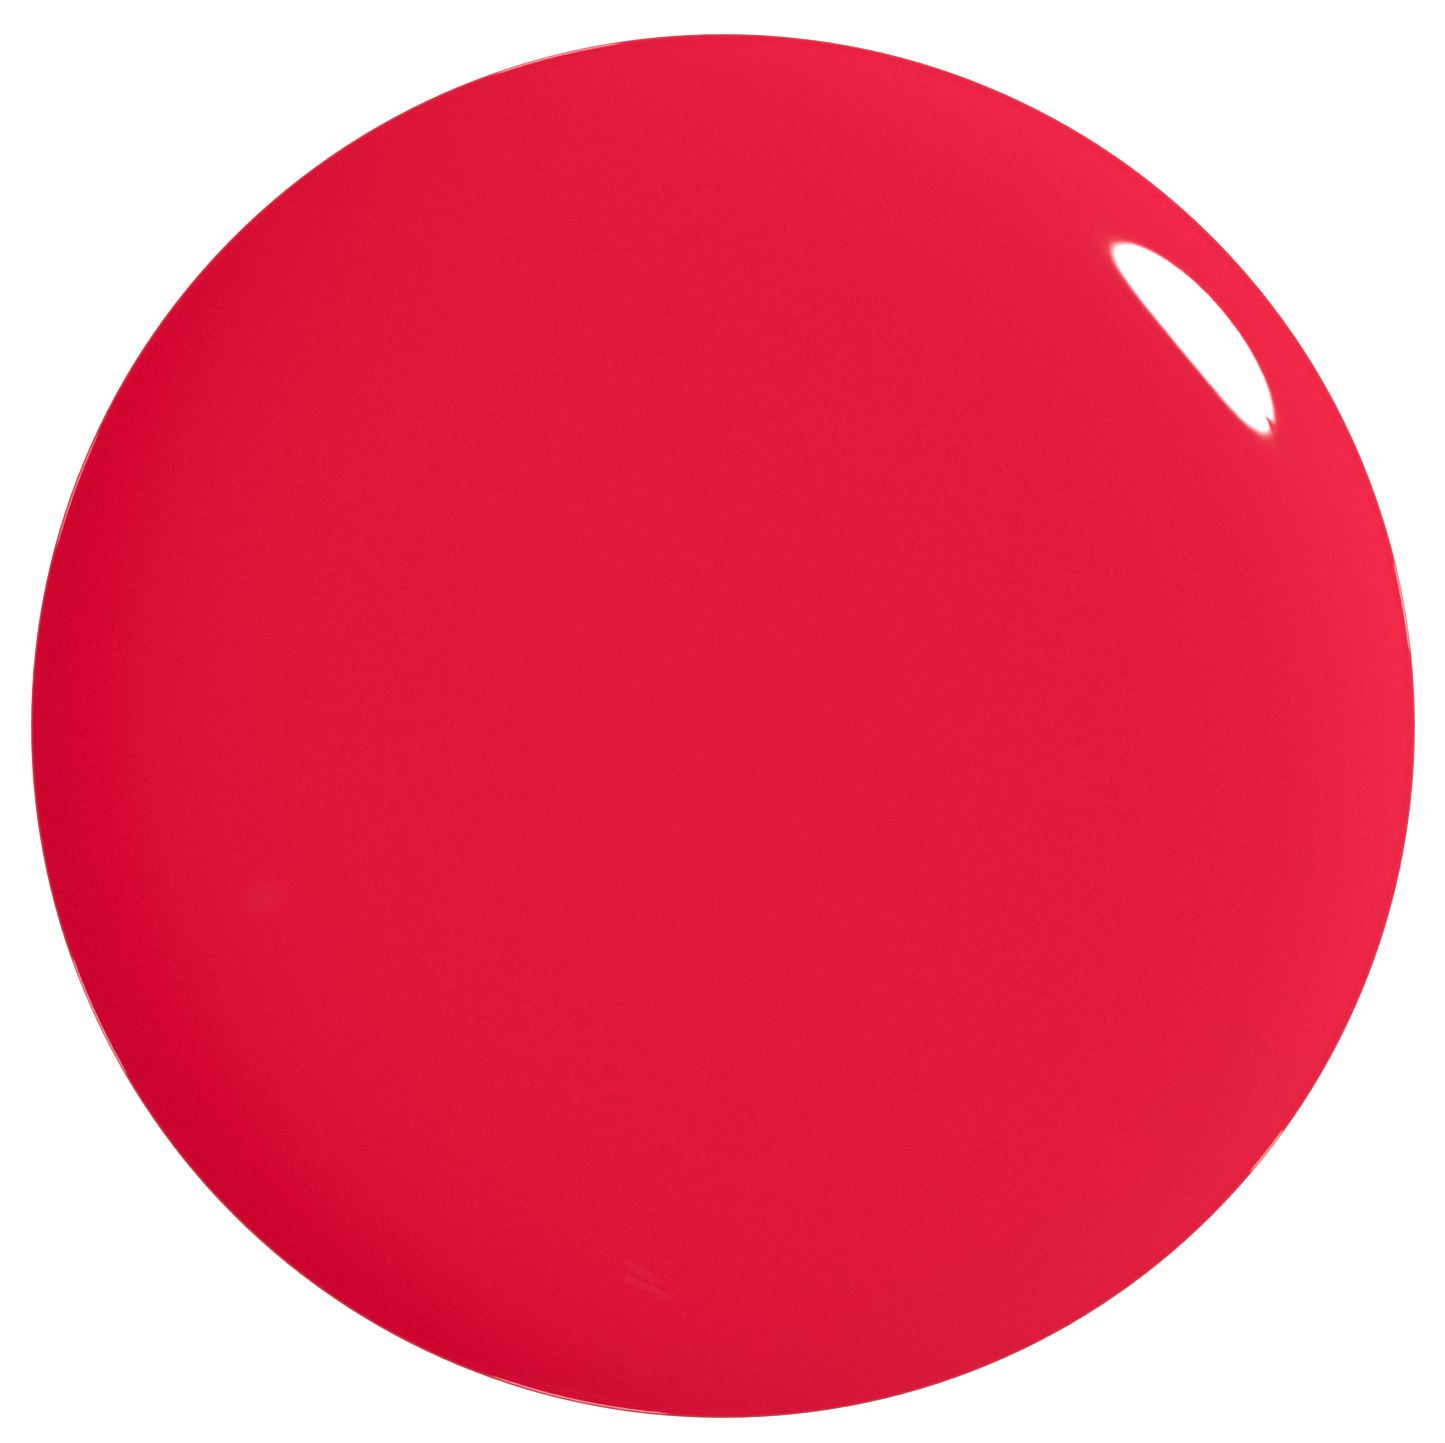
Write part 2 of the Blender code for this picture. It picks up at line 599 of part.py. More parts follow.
def over_cap_sleeve(parts, helpers, finishes, parent):
    """The sleeve glued into the over-cap: it slides over the inner cap and its keys run in the flutes."""
    outer = SLEEVE_RADIUS + SLEEVE_WALL
    flange = OVER_CAP_BORE_RADIUS - SEAT_GAP
    boss = WEIGHT_HOLE_RADIUS - SEAT_GAP
    boss_top = SLEEVE_TOP + WEIGHT_THICKNESS
    profile = [
        (0.0, boss_top),
        (boss, boss_top),
        (boss, SLEEVE_TOP),
        (flange, SLEEVE_TOP),
        (flange, SLEEVE_CEILING),
        (outer, SLEEVE_CEILING),
        (outer, SLEEVE_END + SLEEVE_FLANGE),
        (flange, SLEEVE_END + SLEEVE_FLANGE),
        (flange, SLEEVE_END),
        (SLEEVE_RADIUS, SLEEVE_END),
        (SLEEVE_RADIUS, SLEEVE_CEILING),
        (0.0, SLEEVE_CEILING),
    ]
    sleeve = turned("over_cap_sleeve", profile, parts, finishes["black_polypropylene"], parent)
    fin_start = SLEEVE_RADIUS + SLEEVE_WALL / 2
    fin_end = flange - SEAT_GAP
    fin_base = SLEEVE_END + SLEEVE_FLANGE / 2
    fin_height = SLEEVE_TOP - SLEEVE_TOP_WALL / 2 - fin_base
    fins = bars_around(
        "sleeve_fins",
        (fin_end - fin_start, FIN_THICKNESS, fin_height),
        ((fin_start + fin_end) / 2, fin_base + fin_height / 2),
        FIN_COUNT,
        helpers,
        parent,
    )
    boolean(sleeve, fins, "UNION")
    key_end = SLEEVE_RADIUS + SLEEVE_WALL / 2
    key_start = INNER_CAP_RADIUS - FLUTE_DEPTH + KEY_TIP_GAP
    key_width = 2 * (FLUTE_RADIUS - SLIDE_GAP)
    key_base = SKIRT_END + SKIRT_BAND + SLIDE_GAP
    key_height = INNER_CAP_RISE - INNER_CAP_ROUND - key_base
    keys = bars_around(
        "sleeve_keys",
        (key_end - key_start, key_width, key_height),
        ((key_start + key_end) / 2, key_base + key_height / 2),
        FLUTE_COUNT // FLUTES_PER_KEY,
        helpers,
        parent,
    )
    boolean(sleeve, keys, "UNION")
    return sleeve


def cap_weight(parts, finishes, parent):
    """A steel ring on the sleeve's boss, under the over-cap's top."""
    outer = OVER_CAP_BORE_RADIUS - SEAT_GAP
    base = SLEEVE_TOP + SEAT_GAP
    top = base + WEIGHT_THICKNESS
    profile = [(outer, top), (outer, base), (WEIGHT_HOLE_RADIUS, base), (WEIGHT_HOLE_RADIUS, top)]
    return turned("cap_weight", profile, parts, finishes["steel"], parent, closed=True)


def drop_plate(parts, finishes, parent):
    """A level clear plate on the over-cap; its sharp rim holds the poured drop."""
    top = PLATE_BASE + PLATE_THICKNESS
    profile = [(0.0, top), (OVER_CAP_RADIUS, top), (OVER_CAP_RADIUS, PLATE_BASE), (0.0, PLATE_BASE)]
    return turned("drop_plate", profile, parts, finishes["clear_acrylic"], parent)


def drop_height(radius):
    """The poured drop's height over its base: level in the middle, with its tilt rising to the rim."""
    fade = math.exp((radius - OVER_CAP_RADIUS) / CAPILLARY_LENGTH)
    return DROP_RIM + DROP_RIM_SLOPE * CAPILLARY_LENGTH * (1.0 - fade)


def lacquer_drop(parts, finishes, parent):
    """A drop of the lacquer poured on the plate and spread to its rim."""
    depths = [6.0, 4.0, 3.0, 2.3, 1.7, 1.2, 0.8, 0.45, 0.2]
    radii = [0.0] + [OVER_CAP_RADIUS - CAPILLARY_LENGTH * depth for depth in depths]
    radii.append(OVER_CAP_RADIUS)
    profile = [(radius, DROP_BASE + drop_height(radius)) for radius in radii]
    profile += [(OVER_CAP_RADIUS, DROP_BASE), (0.0, DROP_BASE)]
    return turned("lacquer_drop", profile, parts, finishes["red_lacquer"], parent)


def main():
    clear_scene()
    parts = new_collection("nail_polish_bottle")
    helpers = new_collection("helpers")
    finishes = new_materials()
    liner_axis = new_empty("cap_lift_axis", parts, LIP)
    cap_axis = new_empty("cap_turn_axis", parts, 0.0, liner_axis)
    over_cap_axis = new_empty("over_cap_pull_axis", parts, 0.0, cap_axis)

    glass_bottle(parts, helpers, finishes)
    lacquer_fill(parts, helpers, finishes)
    mixing_balls(parts, finishes)
    base_label(parts, finishes)

    cap_liner(parts, finishes, liner_axis)
    inner_cap(parts, helpers, finishes, cap_axis)
    brush_stem(parts, finishes, cap_axis)
    bristle_anchor(parts, finishes, cap_axis)
    bristle_tuft(parts, finishes, cap_axis)

    over_cap_shell(parts, finishes, over_cap_axis)
    over_cap_sleeve(parts, helpers, finishes, over_cap_axis)
    cap_weight(parts, finishes, over_cap_axis)
    drop_plate(parts, finishes, over_cap_axis)
    lacquer_drop(parts, finishes, over_cap_axis)


main()
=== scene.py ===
"""Looks of a round nail polish bottle whose over-cap carries a poured drop of its lacquer.

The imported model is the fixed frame. Every piece here is a smooth, fully finished stand-in for the CAD
node of the same kind, in metres, in the same frame: +Z up, the bottle's axis on Z, its base at zero.
"""

import logging
import math
import random
from collections.abc import Iterator
from contextlib import contextmanager
from dataclasses import dataclass
from enum import Enum

import bmesh
import bpy
from mathutils import Euler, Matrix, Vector


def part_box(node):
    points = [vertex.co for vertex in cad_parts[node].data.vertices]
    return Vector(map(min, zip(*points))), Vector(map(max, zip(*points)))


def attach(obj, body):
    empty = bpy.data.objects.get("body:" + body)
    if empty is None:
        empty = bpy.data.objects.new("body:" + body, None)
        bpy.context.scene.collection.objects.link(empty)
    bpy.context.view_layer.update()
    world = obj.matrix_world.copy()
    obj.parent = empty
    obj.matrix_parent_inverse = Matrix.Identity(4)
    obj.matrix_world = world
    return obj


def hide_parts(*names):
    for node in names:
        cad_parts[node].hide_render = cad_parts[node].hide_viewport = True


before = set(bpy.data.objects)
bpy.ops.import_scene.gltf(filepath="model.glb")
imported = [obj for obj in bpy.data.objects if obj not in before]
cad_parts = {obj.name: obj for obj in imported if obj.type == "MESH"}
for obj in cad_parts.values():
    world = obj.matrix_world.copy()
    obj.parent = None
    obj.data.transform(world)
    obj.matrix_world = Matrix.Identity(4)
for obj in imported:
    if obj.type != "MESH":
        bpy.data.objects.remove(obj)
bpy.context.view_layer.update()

LOG = logging.getLogger("nail_polish_bottle")
MM = 0.001
FINE_SIDES = 144
PLAIN_SIDES = 96
Colour = tuple[float, float, float]
Size = tuple[float, float, float] | Vector
Object = bpy.types.Object
Material = bpy.types.Material
Tree = bpy.types.NodeTree
Node = bpy.types.Node
Socket = bpy.types.NodeSocket


# The bench: what every piece is made with


class Close(Enum):
    """How a turned profile ends."""

    FACE = "face"
    RING = "ring"


class Solid(Enum):
    """What one solid does to another."""

    ADD = "UNION"
    CUT = "DIFFERENCE"


@dataclass(frozen=True)
class Station:
    """One ring of a turned profile, with the round put on that corner."""

    radius: float
    height: float
    round: float = 0.0
    steps: int = 6


def deselect() -> None:
    """Leaves object mode with nothing selected."""
    if bpy.context.object and bpy.context.object.mode != "OBJECT":
        bpy.ops.object.mode_set(mode="OBJECT")
    bpy.ops.object.select_all(action="DESELECT")


def choose(piece: Object) -> None:
    """Makes one piece the only selected one, and the active one.

    Args:
        piece: the piece to work on.
    """
    deselect()
    piece.select_set(True)
    bpy.context.view_layer.objects.active = piece


@contextmanager
def editing() -> Iterator[None]:
    """Opens the active piece in edit mode with all of it selected, and closes it afterwards."""
    bpy.ops.object.mode_set(mode="EDIT")
    bpy.ops.mesh.select_all(action="SELECT")
    yield
    bpy.ops.object.mode_set(mode="OBJECT")


def face_outwards() -> None:
    """Turns all the faces of the piece in edit mode outwards."""
    bpy.ops.mesh.select_all(action="SELECT")
    bpy.ops.mesh.normals_make_consistent(inside=False)


def widen(factor: float) -> None:
    """Resizes the selected ring about the axis.

    Args:
        factor: how many times as wide it becomes.
    """
    bpy.ops.transform.resize(value=(factor, factor, 1.0), center_override=(0.0, 0.0, 0.0))


def duplicate(source: Object) -> Object:
    """Copies an object and its mesh.

    Args:
        source: the object.

    Returns:
        The copy, in the scene.
    """
    copy = source.copy()
    copy.data = source.data.copy()
    bpy.context.scene.collection.objects.link(copy)
    return copy


def take_new(name: str) -> Object:
    """Names the primitive just added and puts its place into its mesh.

    Args:
        name: the piece's name.

    Returns:
        The new piece, at the origin, unturned and unscaled.
    """
    piece = bpy.context.object
    piece.name = name
    piece.data.name = name
    bpy.ops.object.transform_apply(location=True, rotation=True, scale=True)
    return piece


def ring_vertices(mesh: bmesh.types.BMesh, radius: float, height: float) -> list[bmesh.types.BMVert]:
    """Finds a ring by its place.

    Args:
        mesh: the mesh in edit mode.
        radius: the ring's radius.
        height: the ring's height.

    Returns:
        The vertices on the ring.
    """
    near = 0.006 * MM
    return [
        v for v in mesh.verts
        if abs(v.co.z - height) < near and abs(math.hypot(v.co.x, v.co.y) - radius) < near
    ]


def select_ring(piece: Object, radius: float, height: float) -> None:
    """Selects one ring's edges in edit mode.

    Args:
        piece: the piece in edit mode.
        radius: the ring's radius.
        height: the ring's height.
    """
    bpy.ops.mesh.select_mode(type="VERT")
    bpy.ops.mesh.select_all(action="DESELECT")
    mesh = bmesh.from_edit_mesh(piece.data)
    for vertex in ring_vertices(mesh, radius, height):
        vertex.select_set(True)
    mesh.select_flush(True)
    bmesh.update_edit_mesh(piece.data)
    bpy.ops.mesh.select_mode(type="EDGE")


def smooth(piece: Object, sharp_over: float = 35.0) -> None:
    """Shades a piece smooth, with hard corners kept.

    Args:
        piece: the piece.
        sharp_over: the angle in degrees past which an edge stays sharp.
    """
    choose(piece)
    bpy.ops.object.shade_smooth_by_angle(angle=math.radians(sharp_over))


def turned(
    name: str, stations: list[Station], sides: int = FINE_SIDES, close: Close = Close.FACE
) -> Object:
    """Turns a piece: a circle is extruded and resized from station to station, then rounded at its corners.

    Args:
        name: the piece's name.
        stations: the profile's rings, in order.
        sides: how many sides the circle has.
        close: FACE caps both ends, and RING joins the last station to the first.

    Returns:
        The closed piece, facing outwards.
    """
    deselect()
    first = stations[0]
    bpy.ops.mesh.primitive_circle_add(
        vertices=sides, radius=first.radius, location=(0.0, 0.0, first.height)
    )
    piece = take_new(name)
    path = stations + [first] if close is Close.RING else stations
    with editing():
        for before, after in zip(path, path[1:]):
            rise = (0.0, 0.0, after.height - before.height)
            bpy.ops.mesh.extrude_region_move(TRANSFORM_OT_translate={"value": rise})
            widen(after.radius / before.radius)
        if close is Close.RING:
            bpy.ops.mesh.select_all(action="SELECT")
            bpy.ops.mesh.remove_doubles(threshold=0.001 * MM)
        else:
            bpy.ops.mesh.edge_face_add()
            select_ring(piece, first.radius, first.height)
            bpy.ops.mesh.edge_face_add()
        face_outwards()
        for station in stations:
            if station.round > 0.0:
                select_ring(piece, station.radius, station.height)
                bpy.ops.mesh.bevel(
                    offset_type="OFFSET", offset=station.round, segments=station.steps,
                    profile=0.5, affect="EDGES", clamp_overlap=True,
                )
    smooth(piece)
    return piece


def apply_modifier(piece: Object, kind: str, **settings: object) -> None:
    """Adds a modifier and applies it.

    Args:
        piece: the piece.
        kind: the modifier's type.
        **settings: the modifier's values, by name.
    """
    choose(piece)
    modifier = piece.modifiers.new(kind.title(), kind)
    for key, value in settings.items():
        setattr(modifier, key, value)
    bpy.ops.object.modifier_apply(modifier=modifier.name)


def combine(piece: Object, tool: Object, use: Solid) -> None:
    """Joins a tool's solid to a piece, or cuts it away, and removes the tool.

    Args:
        piece: the piece that stays.
        tool: the solid that is used up.
        use: whether it is added or cut away.
    """
    apply_modifier(piece, "BOOLEAN", operation=use.value, solver="EXACT", object=tool)
    bpy.data.objects.remove(tool, do_unlink=True)
    smooth(piece)


def copies_around(source: Object, count: int) -> Object:
    """Copies a solid round the axis and joins the copies into one object.

    Args:
        source: the solid, which becomes the first copy.
        count: how many there are.

    Returns:
        All the copies as one object.
    """
    made = []
    for n in range(count):
        copy = duplicate(source)
        copy.data.transform(Euler((0.0, 0.0, math.tau * n / count)).to_matrix().to_4x4())
        made.append(copy)
    name = source.name
    bpy.data.objects.remove(source, do_unlink=True)
    joined = join(made)
    joined.name = name
    return joined


def join(made: list[Object]) -> Object:
    """Joins objects into the first of them.

    Args:
        made: the objects.

    Returns:
        The joined object.
    """
    deselect()
    for item in made:
        item.select_set(True)
    bpy.context.view_layer.objects.active = made[0]
    bpy.ops.object.join()
    return bpy.context.object


def bar(name: str, size: Size, centre: Size, round_edges: float = 0.0) -> Object:
    """Adds a straight bar with rounded edges.

    Args:
        name: the bar's name.
        size: its length along X, Y and Z.
        centre: its middle.
        round_edges: the round on its edges.

    Returns:
        The bar.
    """
    deselect()
    bpy.ops.mesh.primitive_cube_add(size=1.0, location=centre, scale=size)
    piece = take_new(name)
    if round_edges > 0.0:
        with editing():
            bpy.ops.mesh.bevel(offset=round_edges, segments=3, affect="EDGES", clamp_overlap=True)
    return piece


@dataclass(frozen=True)
class Thread:
    """A right-hand screw thread's ridge, which fades into its wall at both ends."""

    root: float
    crest: float
    start: float
    turns: float
    lead: float = 25.4 / 12 * MM
    crest_width: float = 0.5 * MM
    root_width: float = 1.2 * MM
    sink: float = 0.25 * MM
    crest_round: float = 0.45
    fade_turns: float = 0.14
    fade_floor: float = 0.12
    fade_range: float = 0.88
    steps_per_turn: int = 72

    def ridge(self, name: str) -> Object:
        """Sweeps the ridge's section up and round the axis.

        Args:
            name: the solid's name.

        Returns:
            The closed ridge, sunk in its wall.
        """
        outwards = math.copysign(1.0, self.crest - self.root)
        sunk = self.root - outwards * self.sink
        crest, foot = self.crest_width / 2, self.root_width / 2
        corners = [(sunk, -foot), (self.crest, -crest), (self.crest, crest), (sunk, foot)]
        deselect()
        bpy.ops.mesh.primitive_plane_add(size=MM)
        piece = take_new(name)
        loop = [piece.data.vertices[n] for n in piece.data.polygons[0].vertices]
        for vertex, (radius, height) in zip(loop, corners):
            vertex.co = (radius, 0.0, self.start + height)
        with editing():
            bpy.ops.mesh.bevel(offset=crest * self.crest_round, segments=3, affect="VERTICES")
            bpy.ops.mesh.delete(type="ONLY_FACE")
        steps = round(self.turns * self.steps_per_turn)
        apply_modifier(
            piece, "SCREW", axis="Z", angle=math.tau * self.turns, screw_offset=self.lead * self.turns,
            steps=steps, render_steps=steps, use_merge_vertices=False,
        )
        self.fade(piece, sunk)
        with editing():
            bpy.ops.mesh.select_all(action="DESELECT")
            bpy.ops.mesh.select_non_manifold()
            bpy.ops.mesh.fill_holes(sides=0)
            face_outwards()
        return piece

    def fade(self, piece: Object, sunk: float) -> None:
        """Draws the ridge's ends back into the wall.

        Args:
            piece: the swept ridge.
            sunk: the radius that it is drawn back to.
        """
        for vertex in piece.data.vertices:
            radius = math.hypot(vertex.co.x, vertex.co.y)
            share = math.atan2(vertex.co.y, vertex.co.x) / math.tau
            about = (vertex.co.z - self.start) / self.lead
            along = round(about - share) + share
            left = max(0.0, min(along, self.turns - along)) / self.fade_turns
            keep = self.fade_floor + self.fade_range * smooth_step(left)
            wanted = sunk + (radius - sunk) * keep
            vertex.co.x *= wanted / radius
            vertex.co.y *= wanted / radius


def smooth_step(share: float) -> float:
    """An even ramp from 0 to 1, level at both ends."""
    share = min(1.0, max(0.0, share))
    return share * share * (3.0 - 2.0 * share)


# Finishes


class Wiring:
    """A node tree that is being wired."""

    def __init__(self, tree: Tree) -> None:
        """Starts on a tree.

        Args:
            tree: the tree.
        """
        self.tree = tree

    def add(self, kind: str, **settings: object) -> Node:
        """Adds a node.

        Args:
            kind: the node's type without its ShaderNode prefix.
            **settings: the node's own values, by name.

        Returns:
            The node.
        """
        node = self.tree.nodes.new("ShaderNode" + kind)
        for key, value in settings.items():
            setattr(node, key, value)
        return node

    def link(self, start: Socket, end: Socket) -> None:
        """Links two sockets."""
        self.tree.links.new(start, end)

    def place(self) -> Socket:
        """The piece's own coordinates, in metres."""
        return self.add("TexCoord").outputs["Object"]

    def feed(self, value: Socket | float | tuple[float, ...], end: Socket) -> None:
        """Links a socket to an input, or sets the input to a number or a colour."""
        if isinstance(value, Socket):
            self.link(value, end)
        else:
            end.default_value = value

    def noise(
        self, where: Socket, scale: Socket | float, detail: float, distortion: float = 0.0
    ) -> Socket:
        """Adds a noise pattern.

        Args:
            where: the coordinates.
            scale: its frequency per metre.
            detail: its octaves.
            distortion: how far it is stirred.

        Returns:
            Its value.
        """
        node = self.add("TexNoise")
        self.feed(scale, node.inputs["Scale"])
        node.inputs["Detail"].default_value = detail
        node.inputs["Distortion"].default_value = distortion
        self.link(where, node.inputs["Vector"])
        return node.outputs["Fac"]

    def effect(self, tree: Tree, **levels: float) -> Node:
        """Adds a shared effect.

        Args:
            tree: the effect's node group.
            **levels: its inputs, by name.

        Returns:
            The group's node.
        """
        node = self.add("Group", node_tree=tree)
        for label, level in levels.items():
            node.inputs[label].default_value = level
        return node

    def relief(self, height: Socket, depth: float, shader: Node) -> None:
        """Adds a relief to a shader.

        Args:
            height: the relief's height, from 0 to 1.
            depth: how deep it is in metres.
            shader: the shader that it goes to.
        """
        bump = self.add("Bump")
        bump.inputs["Strength"].default_value = 1.0
        bump.inputs["Distance"].default_value = depth
        self.link(height, bump.inputs["Height"])
        self.link(bump.outputs["Normal"], shader.inputs["Normal"])

    def math(
        self, operation: str, first: Socket, second: Socket | float
    ) -> Socket:
        """Adds a sum.

        Args:
            operation: the Math node's operation.
            first: its first value.
            second: its second value, a socket or a number.

        Returns:
            The result.
        """
        node = self.add("Math", operation=operation)
        self.link(first, node.inputs[0])
        self.feed(second, node.inputs[1])
        return node.outputs[0]

    def blend(
        self,
        share: Socket,
        low: Socket | Colour,
        high: Socket | Colour,
    ) -> Socket:
        """Mixes two colours.

        Args:
            share: how much of the second there is.
            low: the first colour.
            high: the second colour.

        Returns:
            The mixed colour.
        """
        node = self.add("Mix", data_type="RGBA")
        self.link(share, node.inputs["Factor"])
        for socket, value in ((node.inputs[6], low), (node.inputs[7], high)):
            self.feed(value if isinstance(value, Socket) else (*value, 1.0), socket)
        return node.outputs[2]

    def spread(
        self, value: Socket, start: float, end: float, low: float, high: float
    ) -> Socket:
        """Maps a value's range onto another one, clamped.

        Args:
            value: the value.
            start: the range's low end.
            end: the range's high end.
            low: what the low end becomes.
            high: what the high end becomes.

        Returns:
            The mapped value.
        """
        node = self.add("MapRange", interpolation_type="SMOOTHSTEP")
        self.link(value, node.inputs["Value"])
        for name, number in zip(("From Min", "From Max", "To Min", "To Max"), (start, end, low, high)):
            node.inputs[name].default_value = number
        return node.outputs["Result"]


class Effects:
    """The surface effects that several finishes share, each a node group built once."""

    made: dict[str, Tree] = {}

    @classmethod
    def group(cls, name: str, inputs: dict[str, float], output: str) -> tuple[Wiring, bool]:
        """Finds or starts a node group.

        Args:
            name: the group's name.
            inputs: its number sockets and their defaults.
            output: its one output's name.

        Returns:
            Its wiring, and whether it still has to be wired.
        """
        if name in cls.made:
            return Wiring(cls.made[name]), False
        tree = bpy.data.node_groups.new(name, "ShaderNodeTree")
        for label, default in inputs.items():
            socket = tree.interface.new_socket(label, in_out="INPUT", socket_type="NodeSocketFloat")
            socket.default_value = default
        tree.interface.new_socket(output, in_out="OUTPUT", socket_type="NodeSocketFloat")
        tree.nodes.new("NodeGroupInput")
        tree.nodes.new("NodeGroupOutput")
        cls.made[name] = tree
        return Wiring(tree), True

    @staticmethod
    def ends(wiring: Wiring) -> tuple[Node, Node]:
        """The group's input and output nodes."""
        return wiring.tree.nodes["Group Input"], wiring.tree.nodes["Group Output"]

    @classmethod
    def grain(cls) -> Tree:
        """Fine moulded grain over a slow unevenness.

        Returns:
            The group: Fine and Slow scales in, Height out.
        """
        wiring, new = cls.group("moulded_grain", {"Fine": 5000.0, "Slow": 300.0}, "Height")
        if new:
            start, end = cls.ends(wiring)
            place = wiring.place()
            fine = wiring.noise(place, start.outputs["Fine"], 2.0)
            slow = wiring.noise(place, start.outputs["Slow"], 1.0)
            wiring.link(wiring.math("ADD", fine, slow), end.inputs["Height"])
        return wiring.tree

    @classmethod
    def smudges(cls) -> Tree:
        """Where handling has dulled a gloss.

        Returns:
            The group: Scale, Clean and Dulled in, Roughness out.
        """
        inputs = {"Scale": 160.0, "Clean": 0.05, "Dulled": 0.15}
        wiring, new = cls.group("handling_smudges", inputs, "Roughness")
        if new:
            start, end = cls.ends(wiring)
            broad = wiring.noise(wiring.place(), start.outputs["Scale"], 4.0, 0.6)
            mask = wiring.spread(broad, 0.46, 0.72, 0.0, 1.0)
            rise = wiring.math("SUBTRACT", start.outputs["Dulled"], start.outputs["Clean"])
            dulled = wiring.math("MULTIPLY", mask, rise)
            wiring.link(wiring.math("ADD", dulled, start.outputs["Clean"]), end.inputs["Roughness"])
        return wiring.tree

    @classmethod
    def clouds(cls) -> Tree:
        """Slow clouds with fine specks, for a colour that isn't quite even.

        Returns:
            The group: Scale, Specks, Grain and Contrast in, Mask out.
        """
        inputs = {"Scale": 110.0, "Specks": 4200.0, "Grain": 1.0, "Contrast": 0.5}
        wiring, new = cls.group("cloudy_colour", inputs, "Mask")
        if new:
            start, end = cls.ends(wiring)
            place = wiring.place()
            slow = wiring.noise(place, start.outputs["Scale"], 3.0)
            fine = wiring.noise(place, start.outputs["Specks"], 1.0)
            specks = wiring.math("MULTIPLY", wiring.math("SUBTRACT", fine, 0.5), start.outputs["Grain"])
            total = wiring.math("ADD", wiring.math("SUBTRACT", slow, 0.5), specks)
            scaled = wiring.math("MULTIPLY", total, start.outputs["Contrast"])
            wiring.link(wiring.math("ADD", scaled, 0.5), end.inputs["Mask"])
        return wiring.tree

    # An oval mask for the paler spots mixed into the drop's colour at listed places.
    @classmethod
    def oval_mask(cls) -> Tree:
        """A soft oval mark that lies where the coordinates' origin is.

        Returns:
            The group: Length and Width in, Mask out, which is 1 in the mark's middle.
        """
        inputs = {"Across": 0.0, "Along": 0.0, "Length": 1.0, "Width": 0.3}
        wiring, new = cls.group("oval_mask", inputs, "Mask")
        if new:
            start, end = cls.ends(wiring)
            lengthwise = wiring.math("DIVIDE", start.outputs["Along"], start.outputs["Length"])
            widthwise = wiring.math("DIVIDE", start.outputs["Across"], start.outputs["Width"])
            sides = [wiring.math("ABSOLUTE", side, 0.0) for side in (lengthwise, widthwise)]
            total = wiring.math("ADD", *(wiring.math("POWER", side, 2.0) for side in sides))
            wiring.link(wiring.spread(total, 0.0, 1.0, 1.0, 0.0), end.inputs["Mask"])
        return wiring.tree

    @classmethod
    def wet_line(cls) -> Tree:
        """How far up a piece the lacquer wets it, with an uneven edge.

        Returns:
            The group: Level and Waver in, Mask out, which is 1 below the line.
        """
        wiring, new = cls.group("wet_line", {"Level": 0.03, "Waver": 0.002}, "Mask")
        if new:
            start, end = cls.ends(wiring)
            place = wiring.place()
            axes = wiring.add("SeparateXYZ")
            wiring.link(place, axes.inputs[0])
            uneven = wiring.math("SUBTRACT", wiring.noise(place, 420.0, 2.0), 0.5)
            shift = wiring.math("MULTIPLY", uneven, start.outputs["Waver"])
            edge = wiring.math("ADD", shift, start.outputs["Level"])
            below = wiring.math("SUBTRACT", edge, axes.outputs["Z"])
            wiring.link(wiring.spread(below, -0.00005, 0.00015, 0.0, 1.0), end.inputs["Mask"])
        return wiring.tree


LACQUER: Colour = (0.745, 0.0014, 0.0345)
LACQUER_DEEP: Colour = (0.712, 0.0010, 0.030)
WET_ROUGHNESS = 0.06


